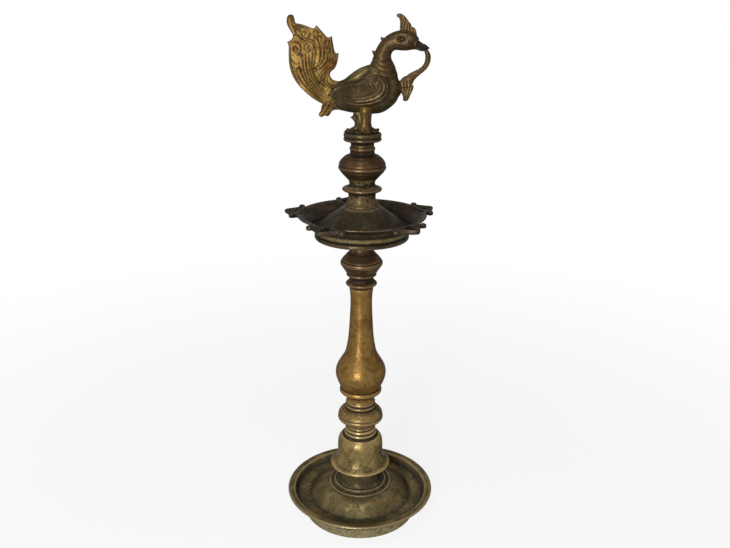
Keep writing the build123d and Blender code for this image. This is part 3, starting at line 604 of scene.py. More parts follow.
# Perch. Two turned mouldings under the bird's feet, with the spigot that screws the finial on. The whole
# bird is fixed to it and lifts off with it.
perch_top = seat_of("perch")
perch_rim = corner("perch", 1)[0]
perch_outside = [
    (19.8, 0, 0.4), (19.8, 2.4, 1.0), (21.0, 5.0, 1.4), (25.2, 6.6, 1.2), (30.0, 7.4, 0.8),
    (perch_rim, 8.8, 1.2), (perch_rim, 11.6, 1.2), (perch_rim - 1.4, 13.2, 0.6),
    (perch_rim - 0.8, 14.6, 0.6), (perch_rim - 0.2, 16.4, 1.2), (perch_rim - 0.2, 19.6, 1.2),
    (perch_rim - 1.8, perch_top - stem_top - 0.4, 1.0), (perch_rim - 4, perch_top - stem_top, 1.0),
    (0, perch_top - stem_top, 0),
]
perch_brass = aged_brass(
    "perch_brass", (0.0682, 0.0482, 0.0232), (0.0268, 0.0208, 0.0126), (0.0124, 0.0114, 0.0093), share=0.4
)
screwed_section(
    "perch", stem_top, perch_spigot_radius, 0, 0, perch_outside,
    "finial", "aged_brass_perch", perch_brass, seed=23,
)


# Wick spouts. Five cast lips: a shallow scooped leaf with a raised rim, a wick channel down its middle, a
# keel under it, and a rolled volute at each shoulder. They are as dark with oil as the dish.
def flowing(points, closed=False, fine=0.5):
    """Smooth line from parabolas that turn each corner between the middles of its sides; a point given
    twice stays sharp, and an open line keeps its ends. It is divided evenly, about every fine mm."""
    points = np.array(points, float)
    if closed:
        before, after = np.roll(points, 1, 0), np.roll(points, -1, 0)
    else:
        points = np.concatenate([points[:1], points, points[-1:]])
        before, after = points[:-2], points[2:]
        points = points[1:-1]
    share = np.arange(12)[None, :, None] / 12
    start, end = ((before + points) / 2)[:, None], ((points + after) / 2)[:, None]
    line = (1 - share) ** 2 * start + 2 * share * (1 - share) * points[:, None] + share**2 * end
    line = line.reshape(-1, points.shape[1])
    line = np.concatenate([line, line[:1] if closed else points[-1:]])
    lengths = np.append(0, np.cumsum(np.linalg.norm(np.diff(line, axis=0), axis=1)))
    count = max(3, int(lengths[-1] / fine))
    even = np.linspace(0, lengths[-1], count + 1)
    line = np.stack([np.interp(even, lengths, column) for column in line.T], 1)
    return line[:-1] if closed else line


def nearest_gap(points, line):
    """Distance of each point from the nearest point of a line, and that point's number."""
    gaps, places = [], []
    for part in np.array_split(points, len(points) // 4000 + 1):
        gap = np.linalg.norm(part[:, None] - line[None], axis=2)
        places.append(gap.argmin(1))
        gaps.append(gap.min(1))
    return np.concatenate(gaps), np.concatenate(places)


def relief(points, strokes):
    """Height that carving strokes add at each point. A stroke is (height, width, line): its height falls
    away from its line as a bell of that width, and fades at its ends; below 0 it is a groove."""
    total = np.zeros(len(points))
    for height, width, line in strokes:
        path = flowing(line, fine=width / 2)
        reach = 2.6 * width
        near = ((points > path.min(0) - reach) & (points < path.max(0) + reach)).all(1)
        if near.any():
            gap, place = nearest_gap(points[near], path)
            share = np.clip(place / (len(path) - 1), 0.02, 0.98)
            total[near] += height * np.sin(math.pi * share) ** 0.35 * np.exp(-((gap / width) ** 2))
    return total


def cut_sheet(outline, pitch, edge):
    """Sheet within an outline: rows of points that follow the outline inside it down to the depth of the
    edge's rounding, a square lattice in the middle, and triangles between them all. Gives the points,
    their depth inside the outline and the triangles."""
    loop = flowing(outline, closed=True, fine=pitch * 0.75)
    area = (loop[:, 0] * np.roll(loop[:, 1], -1) - np.roll(loop[:, 0], -1) * loop[:, 1]).sum()
    loop = loop if area > 0 else loop[::-1]
    along = np.roll(loop, -1, 0) - np.roll(loop, 1, 0)
    inward = np.stack([-along[:, 1], along[:, 0]], 1) / np.linalg.norm(along, axis=1, keepdims=True)
    points, depths = [loop], [np.zeros(len(loop))]
    for share in (0.1, 0.3, 0.6, 1.0):
        row = loop + inward * share * edge
        kept = nearest_gap(row, loop)[0] > share * edge * 0.9
        points.append(row[kept])
        depths.append(np.full(kept.sum(), share * edge))
    low, high = loop.min(0), loop.max(0)
    lattice = np.stack(np.meshgrid(*(np.arange(a, b, pitch) for a, b in zip(low, high))), 2).reshape(-1, 2)
    ahead = np.roll(loop, -1, 0)
    inside = np.zeros(len(lattice), bool)
    for part in np.array_split(np.arange(len(lattice)), len(lattice) // 4000 + 1):
        x, y = lattice[part, :1], lattice[part, 1:]
        crosses = (loop[None, :, 1] > y) != (ahead[None, :, 1] > y)
        run = np.where(ahead[:, 1] == loop[:, 1], 1, ahead[:, 1] - loop[:, 1])[None]
        at = loop[None, :, 0] + (y - loop[None, :, 1]) / run * (ahead[None, :, 0] - loop[None, :, 0])
        inside[part] = (crosses & (x < at)).sum(1) % 2 == 1
    lattice = lattice[inside]
    depth = nearest_gap(lattice, loop)[0]
    kept = depth > edge + pitch * 0.5
    points = np.concatenate(points + [lattice[kept]])
    depths = np.concatenate(depths + [depth[kept]])
    found = delaunay_2d_cdt(points.tolist(), [], [list(range(len(loop)))], 1, 1e-6)
    source = np.array([origin[0] for origin in found[3]])
    triangles = np.array(found[2])
    points, depths = points[source], depths[source]
    first, second, third = (points[triangles[:, k]] for k in range(3))
    turn = (second - first)[:, 0] * (third - first)[:, 1] - (second - first)[:, 1] * (third - first)[:, 0]
    triangles = np.where(turn[:, None] > 0, triangles, triangles[:, ::-1])
    return points, depths, triangles


def two_sided(front, back, depths, triangles, wear):
    """Closed shell from a sheet's two faces, which share the points of its edge."""
    inner = depths > 0
    partner = np.arange(len(front))
    partner[inner] = len(front) + np.arange(inner.sum())
    points = np.concatenate([front, back[inner]])
    faces = np.concatenate([triangles, partner[triangles[:, ::-1]]])
    return points, np.zeros((0, 4), int), faces, np.concatenate([wear, wear[inner]])


def tube(rings, first_pole, last_pole):
    """Closed skin over rings of points, closed by a fan of triangles at each pole."""
    count, around = rings.shape[:2]
    points = np.concatenate([[first_pole], rings.reshape(-1, 3), [last_pole]])
    row, column = np.meshgrid(np.arange(count - 1), np.arange(around), indexing="ij")
    here = 1 + row * around + column
    beside = 1 + row * around + (column + 1) % around
    quads = np.stack([here, here + around, beside + around, beside], 2).reshape(-1, 4)
    turn = np.arange(around)
    after = (turn + 1) % around
    start = np.stack([np.zeros(around, int), 1 + turn, 1 + after], 1)
    last = 1 + (count - 1) * around
    end = np.stack([np.full(around, len(points) - 1), last + after, last + turn], 1)
    return points, quads, np.concatenate([start, end])


def joined(*shells):
    """Several shells as one: points, quads, triangles and wear."""
    starts = np.cumsum([0] + [len(shell[0]) for shell in shells[:-1]])
    points = np.concatenate([shell[0] for shell in shells])
    quads = np.concatenate([shell[1] + start for shell, start in zip(shells, starts)])
    triangles = np.concatenate([shell[2] + start for shell, start in zip(shells, starts)])
    return points, quads, triangles, np.concatenate([shell[3] for shell in shells])


def mirrored(shell):
    """The shell on the other side of the bird's middle plane, still facing outwards."""
    points, quads, triangles, wear = shell
    return points * (1, -1, 1), quads[:, ::-1], triangles[:, ::-1], wear


volute_size = 5.8
volute_tall = 8.2


def volute(centre):
    """Rolled end as a low barrel with a spiral groove in its top and sides: its section is a squared oval,
    and each turn of the groove brings it in by nearly half of the radius."""
    tilt = np.linspace(math.pi / 2, -math.pi / 2, 30)[1:-1, None]
    turn = np.arange(60)[None] * 2 * math.pi / 60
    radius = volute_size * np.cos(tilt) ** 0.55 + 0 * turn
    height = volute_tall / 2 * np.sign(np.sin(tilt)) * np.abs(np.sin(tilt)) ** 0.75 + 0 * turn
    winding = (radius / (volute_size / 2.1) - turn / (2 * math.pi)) % 1
    groove = np.exp(-(((winding - 0.5) * volute_size / 2.1 / 0.5) ** 2)) * eased(radius, 0.5, 1.4)
    height = height - 0.9 * groove * (np.sin(tilt) > 0.3)
    dome = 0.9 * (1 - radius / volute_size)
    x, y = centre[0] + radius * np.cos(turn), centre[1] + radius * np.sin(turn)
    rings = np.stack([x, y, dish_lip - 3.6 + height + dome], 2)
    skin = tube(rings[:, ::-1], rings[0].mean(0), rings[-1].mean(0))
    wear = np.clip(0.62 - 0.5 * groove + 0.12 * np.sin(tilt), 0, 1)
    return *skin, np.concatenate([[0.6], wear[:, ::-1].ravel(), [0.4]])


spout_tip = 139.2
volute_centre = (116.0, -31.0)
side_line = [
    (98, 14), (102, 22), (107, 28.0), (112, 30.0), (116.5, 27.0), (121, 20.4), (126, 14.2), (131, 9.8),
    (135.4, 5.6),
]
spout_edge = [(x, -y) for x, y in side_line] + [(spout_tip, 0)] * 2 + side_line[::-1]
plan, depths, faces = cut_sheet(spout_edge, 0.8, 1.5)
outer_edge = flowing([(x, -y) for x, y in side_line[3:]] + [(spout_tip, 0)] * 2 + side_line[:2:-1], fine=0.6)
in_from_rim = nearest_gap(plan, outer_edge)[0]
across = np.abs(plan[:, 1])
bowl = np.interp(plan[:, 0], [92, 96, 100, 102.5, 105], dish_lip - np.array([10.6, 8.4, 5.2, 2.6, 0.6]))
scoop = 2.2 * eased(in_from_rim, 2.6, 4.6) * eased(plan[:, 0], 106, 111)
end_of_channel = eased(plan[:, 0], 133, 127)
channel = channel_depth * eased(across, 6.4, 4.6) * end_of_channel
floor_height = np.minimum(dish_lip - scoop, np.maximum(bowl + 0.35, dish_lip - 2.2))
inner_part = eased(plan[:, 0], 112, 106)
top = (dish_lip - scoop) * (1 - inner_part) + floor_height * inner_part
over_bowl = np.maximum(top - channel * (top - channel > bowl + 0.3), bowl + 0.3)
top = np.where(plan[:, 0] < 112, over_bowl, top - channel)
rib_lines = [[(112, s * 12), (121, s * 9.5), (129, s * 5), (134, s * 1.5)] for s in (-1, 1)]
ribs = relief(plan, [(0.35, 1.1, line) for line in rib_lines])
top = top + ribs
keel = 3.2 * np.exp(-((across / 9) ** 2)) * eased(plan[:, 0], 136, 120)
under = np.minimum(dish_lip - 8.4 - keel, top - 1.2)
middle = (dish_lip - 4.2) * np.ones(len(plan))
middle = np.where(plan[:, 0] < 110, (top + under) / 2, middle)
fullness = np.sqrt(1 - (1 - np.clip(depths / 3.4, 0, 1)) ** 2)
front = np.concatenate([plan, (middle + (top - middle) * fullness)[:, None]], 1)
back = np.concatenate([plan, (middle + (under - middle) * fullness)[:, None]], 1)
crease = np.exp(-(((plan[:, 0] - 105.5) / 3.2) ** 2)) * eased(in_from_rim, 1.0, 5.0)
wear = 0.58 + 0.12 * eased(in_from_rim, 3.4, 1.4) - 0.55 * channel / channel_depth
wear = wear - 0.5 * crease + 0.35 * ribs
leaf = two_sided(front, back, depths, faces, np.clip(wear, 0, 1))
side_volute = volute(volute_centre)
spout_shell = joined(leaf, side_volute, mirrored(side_volute))
spout_brass = aged_brass(
    "wick_spout_brass", (0.0655, 0.0494, 0.0302), (0.0265, 0.021, 0.0146), (0.0107, 0.0092, 0.007),
    share=0.42, blotch=60, edges=0.1,
)
points, *faces_and_wear = spout_shell
for number in range(spout_count):
    turn = first_spout + 2 * math.pi / spout_count * number
    cos, sin = math.cos(turn), math.sin(turn)
    placed = points @ np.array([[cos, sin, 0], [-sin, cos, 0], [0, 0, 1]])
    node = f"wick_spout_{number + 1}"
    make_piece(node, placed, *faces_and_wear, "dish_section", "dark_brass_spout", spout_brass)


# Foliage under the bird: a low crown of leaves on the perch, and a leafy web between the legs that
# carries the body. Both are cast with the finial and chased with a punch.
def bird_brass(name, rubbed, patina, grime, share, **others):
    """Old brass for a piece of the bird, with blotches of a size that suits it."""
    return aged_brass(name, rubbed, patina, grime, share=share, blotch=38, **others)


belly = perch_top + 30
leaf_count = 9
crown_around = 288
under_rows = 5
crown_turn = np.arange(crown_around) * 2 * math.pi / crown_around
crown_share = np.linspace(0, 1, 34)[:, None]
leaf_phase = (crown_turn * leaf_count / (2 * math.pi) + 0.2) % 1
leaf_shape = 1 - np.abs(2 * leaf_phase - 1) ** 2.2
crown_radius = 23.0 + 5.2 * leaf_shape + 1.2 * np.sin(crown_turn + 2.6)
mound = 7.6 - 3.8 * eased(crown_share, 0.05, 0.9)
curl = 1.2 * np.exp(-(((crown_share - 0.9) / 0.1) ** 2)) * leaf_shape
rib = 0.9 * np.exp(-(((leaf_phase - 0.5) / 0.07) ** 2))
rib = rib - 1.5 * np.exp(-((np.minimum(leaf_phase, 1 - leaf_phase) / 0.07) ** 2))
vein = 0.45 * np.sin(leaf_count * 2 * math.pi * np.abs(leaf_phase - 0.5) + crown_share * 26)
crown_carving = (rib + vein * leaf_shape) * eased(crown_share, 0.12, 0.4)
crown_height = perch_top + mound + curl + crown_carving
spread = crown_share * crown_radius
crown_top = np.stack([spread * np.cos(crown_turn), spread * np.sin(crown_turn), crown_height], 2)[1:]
under_share = np.linspace(0, 1, under_rows + 1)[1:, None]
rolled_in = crown_radius * (1 - 0.05 * under_share)
under_height = crown_top[-1, :, 2] - (crown_top[-1, :, 2] - perch_top - 0.05) * under_share
crown_under = np.stack([rolled_in * np.cos(crown_turn), rolled_in * np.sin(crown_turn), under_height], 2)
rings = np.concatenate([crown_top, crown_under])[::-1]
crown_skin = tube(rings[:, ::-1], (0, 0, perch_top + 0.05), (0, 0, crown_height[0].mean()))
crown_wear = np.clip(0.5 + 0.35 * crown_carving[1:][::-1], 0, 1)
crown_wear = np.concatenate([np.full((under_rows, crown_around), 0.3), crown_wear])
foliage_brass = bird_brass(
    "perch_foliage_brass", (0.1272, 0.088, 0.0354), (0.0481, 0.0367, 0.0189), (0.0229, 0.019, 0.0123),
    share=0.35,
)
crown_wear = np.concatenate([[0.5], crown_wear[:, ::-1].ravel(), [0.5]])
make_piece("perch_foliage", *crown_skin, crown_wear, "finial", "aged_brass_foliage", foliage_brass)


def carved_plate(outline, strokes, thickness, pitch=0.8, edge=1.6, swell=0.0, sharpness=1.0):
    """Upright plate in the bird's middle plane with the same carving on both faces. Each face stands half
    the thickness out, rounds over to the edge, swells by its depth inside the outline, and adds the
    relief of the strokes."""
    plan, depths, faces = cut_sheet(outline, pitch, edge)
    carving = relief(plan, strokes) * np.clip(depths / edge, 0, 1)
    round_over = np.sqrt(1 - (1 - np.clip(depths / edge, 0, 1)) ** 2)
    out = thickness / 2 * round_over + swell * (1 - np.exp(-depths / 9)) + carving
    near = np.stack([plan[:, 0], -out, plan[:, 1]], 1)
    far = np.stack([plan[:, 0], out, plan[:, 1]], 1)
    wear = np.clip(0.56 + sharpness * 0.55 * carving, 0, 1)
    return two_sided(near, far, depths, faces, wear)


web_outline = [
    (-29, 726), (-31.5, 729), (-26, 732), (-18, 733.5), (-13.5, 738), (-13.2, 743), (-16, 747.5),
    (-20.6, 751.3), (-20.6, 751.3), (-16.5, 754), (-15.2, 758), (-15, 768), (17, 768), (15, 756), (13, 748),
    (12.4, 738), (17, 732.5), (23, 729), (30.5, 727.5), (29, 725),
]
web_strokes = [
    (-0.9, 1.0, [(-28, 729), (-20, 731), (-12, 736), (-9, 744), (-10, 752), (-13, 760)]),
    (-0.9, 1.0, [(-18, 751), (-13, 749), (-9.5, 743), (-7, 736), (-9, 729)]),
    (0.8, 1.4, [(-15.5, 751.5), (-11.5, 750), (-8, 745), (-6, 738)]),
    (-0.8, 0.9, [(-12, 757), (-8, 751), (-5.5, 743), (-4, 733)]),
    (-0.8, 1.0, [(27, 727), (19, 729.5), (13, 734), (10, 742), (10.5, 751), (13, 762)]),
    (0.7, 1.4, [(22, 727.5), (16, 730), (11, 734)]),
]
web_shell = carved_plate(web_outline, web_strokes, 13.0, pitch=0.7, edge=3.4, swell=2.6, sharpness=0.7)
make_piece("foliage_support", *web_shell, "finial", "aged_brass_foliage", foliage_brass)


# Legs. Two stout cast legs that widen into the thigh above and the foot below, rubbed brighter than the
# body above them.
def swept(sections, strokes=(), caps=(3.0, 3.0), bands=(), around=96, between=10, aside=0.0, sharpness=1.0):
    """Body of oval sections, each (across, height, lean in degrees, half height, half width) and square to
    the direction that rises by its lean. A Catmull-Rom curve passes through the sections, round caps
    close the ends, and the strokes and the bands (height, width, section number) add their relief along
    the surface's own outward direction."""
    rows = np.array(sections, float)
    rows = np.concatenate([[2 * rows[0] - rows[1]], rows, [2 * rows[-1] - rows[-2]]])
    number = np.linspace(0, len(sections) - 1, (len(sections) - 1) * between + 1)
    at = np.minimum(number.astype(int), len(sections) - 2)
    t = (number - at)[:, None]
    a, b, c, d = (rows[at + k] for k in range(4))
    line = 0.5 * (2 * b + (c - a) * t + (2 * a - 5 * b + 4 * c - d) * t**2 + (3 * b - a - 3 * c + d) * t**3)
    quarter = np.linspace(0, math.pi / 2, 8)[1:-1]
    ends = []
    for row, cap, way in ((line[0], caps[0], -1), (line[-1], caps[1], 1)):
        lean = math.radians(row[2])
        forward = np.array([math.cos(lean), math.sin(lean)]) * way * cap
        cap_rows = np.repeat(row[None], len(quarter), 0)
        cap_rows[:, :2] += np.sin(quarter)[:, None] * forward
        cap_rows[:, 3:] *= np.cos(quarter)[:, None]
        ends.append((cap_rows, row[:2] + forward))
    line = np.concatenate([ends[0][0][::-1], line, ends[1][0]])
    number = np.pad(number, len(quarter), mode="edge")
    lean = np.radians(line[:, 2:3])
    turn = np.arange(around) * 2 * math.pi / around
    rise = line[:, 3:4] * np.cos(turn)
    aside_of = line[:, 4:5] * np.sin(turn)
    rings = np.stack([line[:, :1] - np.sin(lean) * rise, aside_of, line[:, 1:2] + np.cos(lean) * rise], 2)
    up = np.cos(turn) / line[:, 3:4]
    side = np.sin(turn) / line[:, 4:5]
    size = np.hypot(up, side)
    outward = np.stack([-np.sin(lean) * up, side, np.cos(lean) * up], 2) / size[..., None]
    carving = relief(rings[..., [0, 2]].reshape(-1, 2), strokes).reshape(rings.shape[:2])
    for height, width, place in bands:
        carving += height * np.exp(-(((number - place) / width) ** 2))[:, None]
    body_of = np.clip(np.minimum(line[:, 3:4], line[:, 4:5]) / 3, 0, 1)
    rings = rings + outward * (carving * body_of)[..., None]
    poles = [np.array([end[1][0], 0, end[1][1]]) for end in ends]
    points, quads, triangles = tube(rings, *poles)
    wear = np.clip(0.56 + sharpness * 0.5 * carving, 0, 1)
    return points + (0, aside, 0), quads, triangles, np.concatenate([[0.5], wear.ravel(), [0.5]])


leg_brass = bird_brass(
    "leg_brass", (0.102, 0.0576, 0.0198), (0.0444, 0.0264, 0.0114), (0.0168, 0.0126, 0.0084), share=0.6
)
for name, across, aside in (("leg_near", 3.8, -14.0), ("leg_far", 7.4, 14.0)):
    leg_sections = [
        (across - 0.6, perch_top + 2.0, 90, 11.2, 8.6), (across - 0.6, perch_top + 5.5, 90, 9.6, 7.8),
        (across - 0.4, perch_top + 11, 90, 7.9, 6.6), (across, perch_top + 18, 90, 7.1, 6.2),
        (across + 0.4, perch_top + 25, 90, 7.3, 6.4), (across + 0.8, perch_top + 31, 90, 8.6, 7.2),
        (across + 1.2, perch_top + 37, 90, 11.2, 8.0), (across + 1.8, perch_top + 44, 90, 11.8, 6.6),
    ]
    leg_strokes = [
        (height, width, np.array(line) + (across, perch_top))
        for height, width, line in (
            (-0.7, 0.8, [(-2.4, 1), (-1.8, 7), (-1.2, 12)]),
            (-0.7, 0.8, [(2.4, 1), (1.8, 7), (1.2, 12)]),
            (-0.35, 1.0, [(-2.6, 36), (-0.8, 28), (0.2, 16)]),
            (-0.35, 0.9, [(3.6, 40), (2.6, 30), (2.0, 18)]),
        )
    ]
    leg_shell = swept(
        leg_sections, leg_strokes, caps=(1.0, 1.0), bands=[(0.5, 0.12, 1.6)], around=64, aside=aside
    )
    make_piece(name, *leg_shell, "finial", "golden_brass_leg", leg_brass)


# Body. The egg-shaped body between tail and breast, with feather lines chased along its back; dark brown
# where hands and oil have never rubbed it.
body_sections = [
    (-50, belly + 34, 0, 13, 5.0), (-40, belly + 30, 0, 22.2, 10.0), (-30, belly + 30.4, 0, 25.8, 15.0),
    (-20, belly + 33.2, 0, 30.6, 19.0), (-8, belly + 36.6, 0, 35.4, 22.4), (4, belly + 39.2, 0, 38.0, 24.2),
    (16, belly + 40.6, 0, 40.0, 25.0), (28, belly + 40.8, 0, 39.0, 24.6), (38, belly + 40.6, 0, 34.8, 22.8),
    (47, belly + 40.8, 0, 28.4, 19.4), (54.5, belly + 41, 0, 21.0, 14.8), (60, belly + 42, 0, 11.6, 8.4),
]
back_strokes = [
    (2.0, 4.6, [(-23, 811.5), (-13, 819), (-2, 825), (7, 829.5)]),
    (-0.9, 1.7, [(-32, 806), (-21, 808.5), (-9, 813), (3, 820), (11, 828), (12, 836)]),
    (-0.7, 1.1, [(-28, 811.5), (-20, 817.5), (-10, 823.5), (0, 827.5), (9, 832)]),
    (0.5, 1.2, [(-27, 813.5), (-19, 819.6), (-9, 825.6), (1, 829.6), (9, 834.5)]),
    (-0.7, 1.1, [(-25, 808.5), (-15, 814), (-6, 818.5), (2, 823), (9, 829)]),
    (0.5, 1.2, [(-24, 810.5), (-14, 816), (-5, 820.6), (3, 825), (9.5, 830.5)]),
    (-0.7, 1.1, [(-18, 809), (-9, 812.5), (0, 817), (7, 823.5), (12, 831)]),
    (-0.6, 1.1, [(-44, 806), (-34, 809.5), (-26, 812), (-20, 816)]),
    (-0.5, 1.2, [(11, 820.5), (14, 827), (14.5, 835)]),
    (-0.9, 1.8, [(33, 821), (41.5, 815.5), (45.5, 805), (44.5, 794), (39, 784), (30, 777), (18, 772.5),
        (2, 769.5)]),
    (0.4, 2.4, [(48, 812), (52, 800), (50, 788), (43, 777), (32, 769)]),
    (-0.5, 1.2, [(-48, 771), (-36, 768), (-22, 764.5), (-8, 762.5)]),
    (-0.5, 1.2, [(-44, 776), (-32, 772), (-18, 768), (-6, 766)]),
]
body_brass = bird_brass(
    "torso_brass", (0.1162, 0.0887, 0.0328), (0.0356, 0.0302, 0.017), (0.0125, 0.0114, 0.0086),
    share=0.3, shine=0.32, edges=0.2,
)
body_shell = swept(body_sections, back_strokes, caps=(3.0, 3.4), around=200, between=16, sharpness=0.5)
make_piece("torso", *body_shell, "finial", "dark_brass_torso", body_brass)


# Wings. Each folded wing lies on the body's side: a scroll at the shoulder, a raised border, two long
# feathers that run back to the tip, and slanting barbs above them. Their height is the body's side plus
# the wing's own relief.
def side_of_body(plan):
    """How far the body's side stands out at (across, height): its half width times the root of one less
    the square of the height above its middle over its half height."""
    rows = np.array(body_sections)
    middle, half_height, half_width = (np.interp(plan[:, 0], rows[:, 0], rows[:, k]) for k in (1, 3, 4))
    share = (plan[:, 1] - middle) / np.maximum(half_height, 18)
    return np.maximum(half_width, 4.5) * np.sqrt(np.clip(1 - share**2, 0.04, 1))


wing_edge = [
    (-57, 787), (-57, 787), (-53, 795.5), (-44, 803), (-30, 806.8), (-14, 809.2), (-3, 811.6), (4, 816.4),
    (10, 820.5), (19, 822), (29, 820.5), (37, 817), (41.5, 809), (42, 799), (38.5, 789), (30, 780.8),
    (18, 775.4), (2, 772.4), (-12, 771.8), (-28, 774.8), (-43, 780.6),
]
lower_feather = np.array([(37, 803), (31.5, 789), (14, 779.5), (-10, 776.5), (-34, 781), (-53, 788)], float)
upper_feather = np.array([(13, 814.5), (8, 808.5), (-4, 804.5), (-20, 801), (-38, 796.5), (-53, 790)], float)
between_feathers = upper_feather - lower_feather
wing_strokes = [(-0.42, 1.3, lower_feather + between_feathers * share) for share in (0.16, 0.34)]
wing_strokes += [(0.35, 1.8, lower_feather + between_feathers * share) for share in (0.08, 0.25)]
barb_start = np.linspace(-47, 15, 13)
barb_top = np.interp(barb_start, [-50, -40, -26, -12, 4, 16], [790, 797, 801, 803.5, 808, 812])
barb_end = np.interp(barb_start + 11, lower_feather[::-1, 0], lower_feather[::-1, 1]) + 9
for x, high, low in zip(barb_start.tolist(), barb_top.tolist(), barb_end.tolist()):
    if high - low > 2:
        barb = [(x, high), (x + 3.4, high * 0.55 + low * 0.45), (x + 11, low)]
        wing_strokes += [(-0.4, 1.2, barb), (0.3, 1.5, [(across + 2.4, height) for across, height in barb])]
wing_strokes += [
    (1.0, 1.4, [(-52, 794), (-42, 801.5), (-28, 805.3), (-13, 807.6), (-4, 810), (2, 814), (7, 819)]),
    (-0.6, 1.3, [(-50, 790.5), (-40, 798), (-26, 801.6), (-12, 803.8), (-2, 806.6), (5, 811.5), (10, 818)]),
    (-0.85, 1.4, [(19, 805), (18, 812), (22.5, 817.5), (30, 818), (36, 814), (39, 806), (38.6, 797),
        (34.4, 789), (27, 783)]),
    (-0.65, 1.3, [(27, 783), (16, 778.4), (2, 776), (-12, 775.6), (-28, 779), (-44, 784)]),
    (1.1, 1.7, [(20, 820), (29, 819.4), (36.4, 815.4), (40.6, 807.5), (40.8, 798.5), (37, 789.5),
        (29, 782), (17, 776.9)]),
    (1.1, 1.7, [(17, 776.9), (2, 773.9), (-12, 773.6), (-28, 776.8), (-42, 782)]),
    (-0.8, 0.9, [(20.5, 808), (20.8, 813), (25, 815), (29, 812.6), (28.6, 808), (25, 806.4)]),
    (1.7, 2.0, [(24, 810.6), (24.9, 811), (25.6, 810.8)]),
    (0.8, 1.3, [(30, 815), (34.5, 810.5), (35.4, 803), (33.4, 795.5), (28, 788.5), (18, 783), (8, 780.4)]),
]
wing_rounding = 1.8
plan, depths, faces = cut_sheet(wing_edge, 0.62, wing_rounding)
carving = relief(plan, wing_strokes) * np.clip(depths / wing_rounding, 0, 1)
round_over = np.sqrt(1 - (1 - np.clip(depths / wing_rounding, 0, 1)) ** 2)
skin = side_of_body(plan)
out = skin + 3.0 * round_over + carving
front = np.stack([plan[:, 0], -out, plan[:, 1]], 1)
back = np.stack([plan[:, 0], -np.maximum(skin - 1.5 * round_over, 0.6), plan[:, 1]], 1)
near_wing = two_sided(front, back, depths, faces, np.clip(0.55 + 0.17 * carving, 0, 1))
wing_brass = bird_brass(
    "wing_brass", (0.0719, 0.049, 0.0223), (0.0291, 0.0218, 0.013), (0.0134, 0.0111, 0.0082),
    share=0.42, shine=0.32, edges=0.5,
)
make_piece("wing_near", *near_wing, "finial", "aged_brass_wing", wing_brass)
make_piece("wing_far", *mirrored(near_wing), "finial", "aged_brass_wing", wing_brass)


# Neck and head. The neck rises from collar bands on the breast, arches forward and swells into the
# head, with two small spurs on the nape and a deep almond round each eye.
neck_sections = [
    (30.5, belly + 57, 92, 27.0, 20.5), (31.0, belly + 64, 93, 25.0, 18.6),
    (31.0, belly + 71, 94, 22.6, 16.4), (30.4, belly + 79, 95, 20.0, 14.2),
    (30.6, belly + 86.5, 91, 16.2, 12.6), (31.4, belly + 94, 84, 14.0, 11.4),
    (34.6, belly + 102.6, 67, 12.8, 10.7), (41.0, belly + 110.6, 45, 12.8, 10.9),
    (50, belly + 115.4, 22, 14.2, 11.6), (60, belly + 117.3, 6, 15.7, 12.6),
    (70, belly + 117.4, -2, 15.8, 12.8), (79, belly + 116.0, -8, 13.4, 10.8),
    (86, belly + 113.0, -14, 9.6, 7.8),
]
neck_strokes = [
    (0.66, 1.49, [(4, 836), (12, 832.5), (20, 828.5), (29, 823.6), (38, 820.4), (48, 820.4), (58, 824)]),
    (-0.5, 1.38, [(6, 839), (13, 835.6), (22, 831.2), (31, 827), (40, 824.6), (48, 825.4), (56, 829)]),
    (0.5, 1.38, [(8, 842), (15, 838.2), (24, 833.8), (33, 830.4), (41, 829), (48, 830.6), (54, 834)]),
    (-0.44, 1.26, [(10, 845.5), (18, 841), (26, 837), (34, 834.4), (42, 834), (50, 838)]),
    (0.44, 1.26, [(12, 848), (19, 843.6), (27, 840), (34, 838), (41, 837.8), (48, 842)]),
    (-0.33, 1.26, [(14, 851.5), (21, 847), (29, 843.8), (37, 842.6), (47, 846)]),
    (-0.44, 1.38, [(28, 818.6), (36, 816.2), (46, 815.6), (56, 818)]),
    (-0.28, 1.26, [(19.5, 848), (22.5, 857), (27.5, 865), (34, 872.5), (43, 880), (54, 885.6)]),
    (-0.5, 1.2, [(55, 876), (57, 880.4), (62, 881.8), (67, 879.2), (69.4, 875)]),
    (-0.5, 1.2, [(55, 876), (57.4, 872.6), (62.6, 871), (67, 872.2), (69.4, 875)]),
    (-1.8, 3.6, [(57.4, 876.2), (62, 876.6), (66.4, 875.8)]),
    (0.8, 1.2, [(51.5, 877), (55, 882.6), (62, 885), (70, 883.6), (76, 884.4)]),
    (-0.8, 1.0, [(57, 888.4), (66, 887.6), (76, 886), (84, 880.4)]),
    (1.3, 4.2, [(72.4, 879.5), (75.4, 877.8), (77.4, 875)]),
    (-0.7, 1.0, [(70.5, 882), (71.6, 876), (75, 871.2), (80, 870)]),
    (0.7, 1.1, [(56, 869.6), (64, 868.2), (70, 866.2), (77, 865)]),
    (-0.7, 1.0, [(55, 867), (63, 865.2), (70, 863.4), (78, 862.4)]),
    (0.9, 1.1, [(83, 860.6), (82.6, 866), (83.8, 871), (86.6, 876)]),
]
neck_brass = bird_brass(
    "neck_and_head_brass", (0.0832, 0.0514, 0.0228), (0.0315, 0.0214, 0.0126), (0.0124, 0.01, 0.0077),
    share=0.42, shine=0.32,
)
neck_shell = swept(neck_sections, neck_strokes, caps=(2.0, 2.6), around=168, between=18, sharpness=0.6)
spurs = []
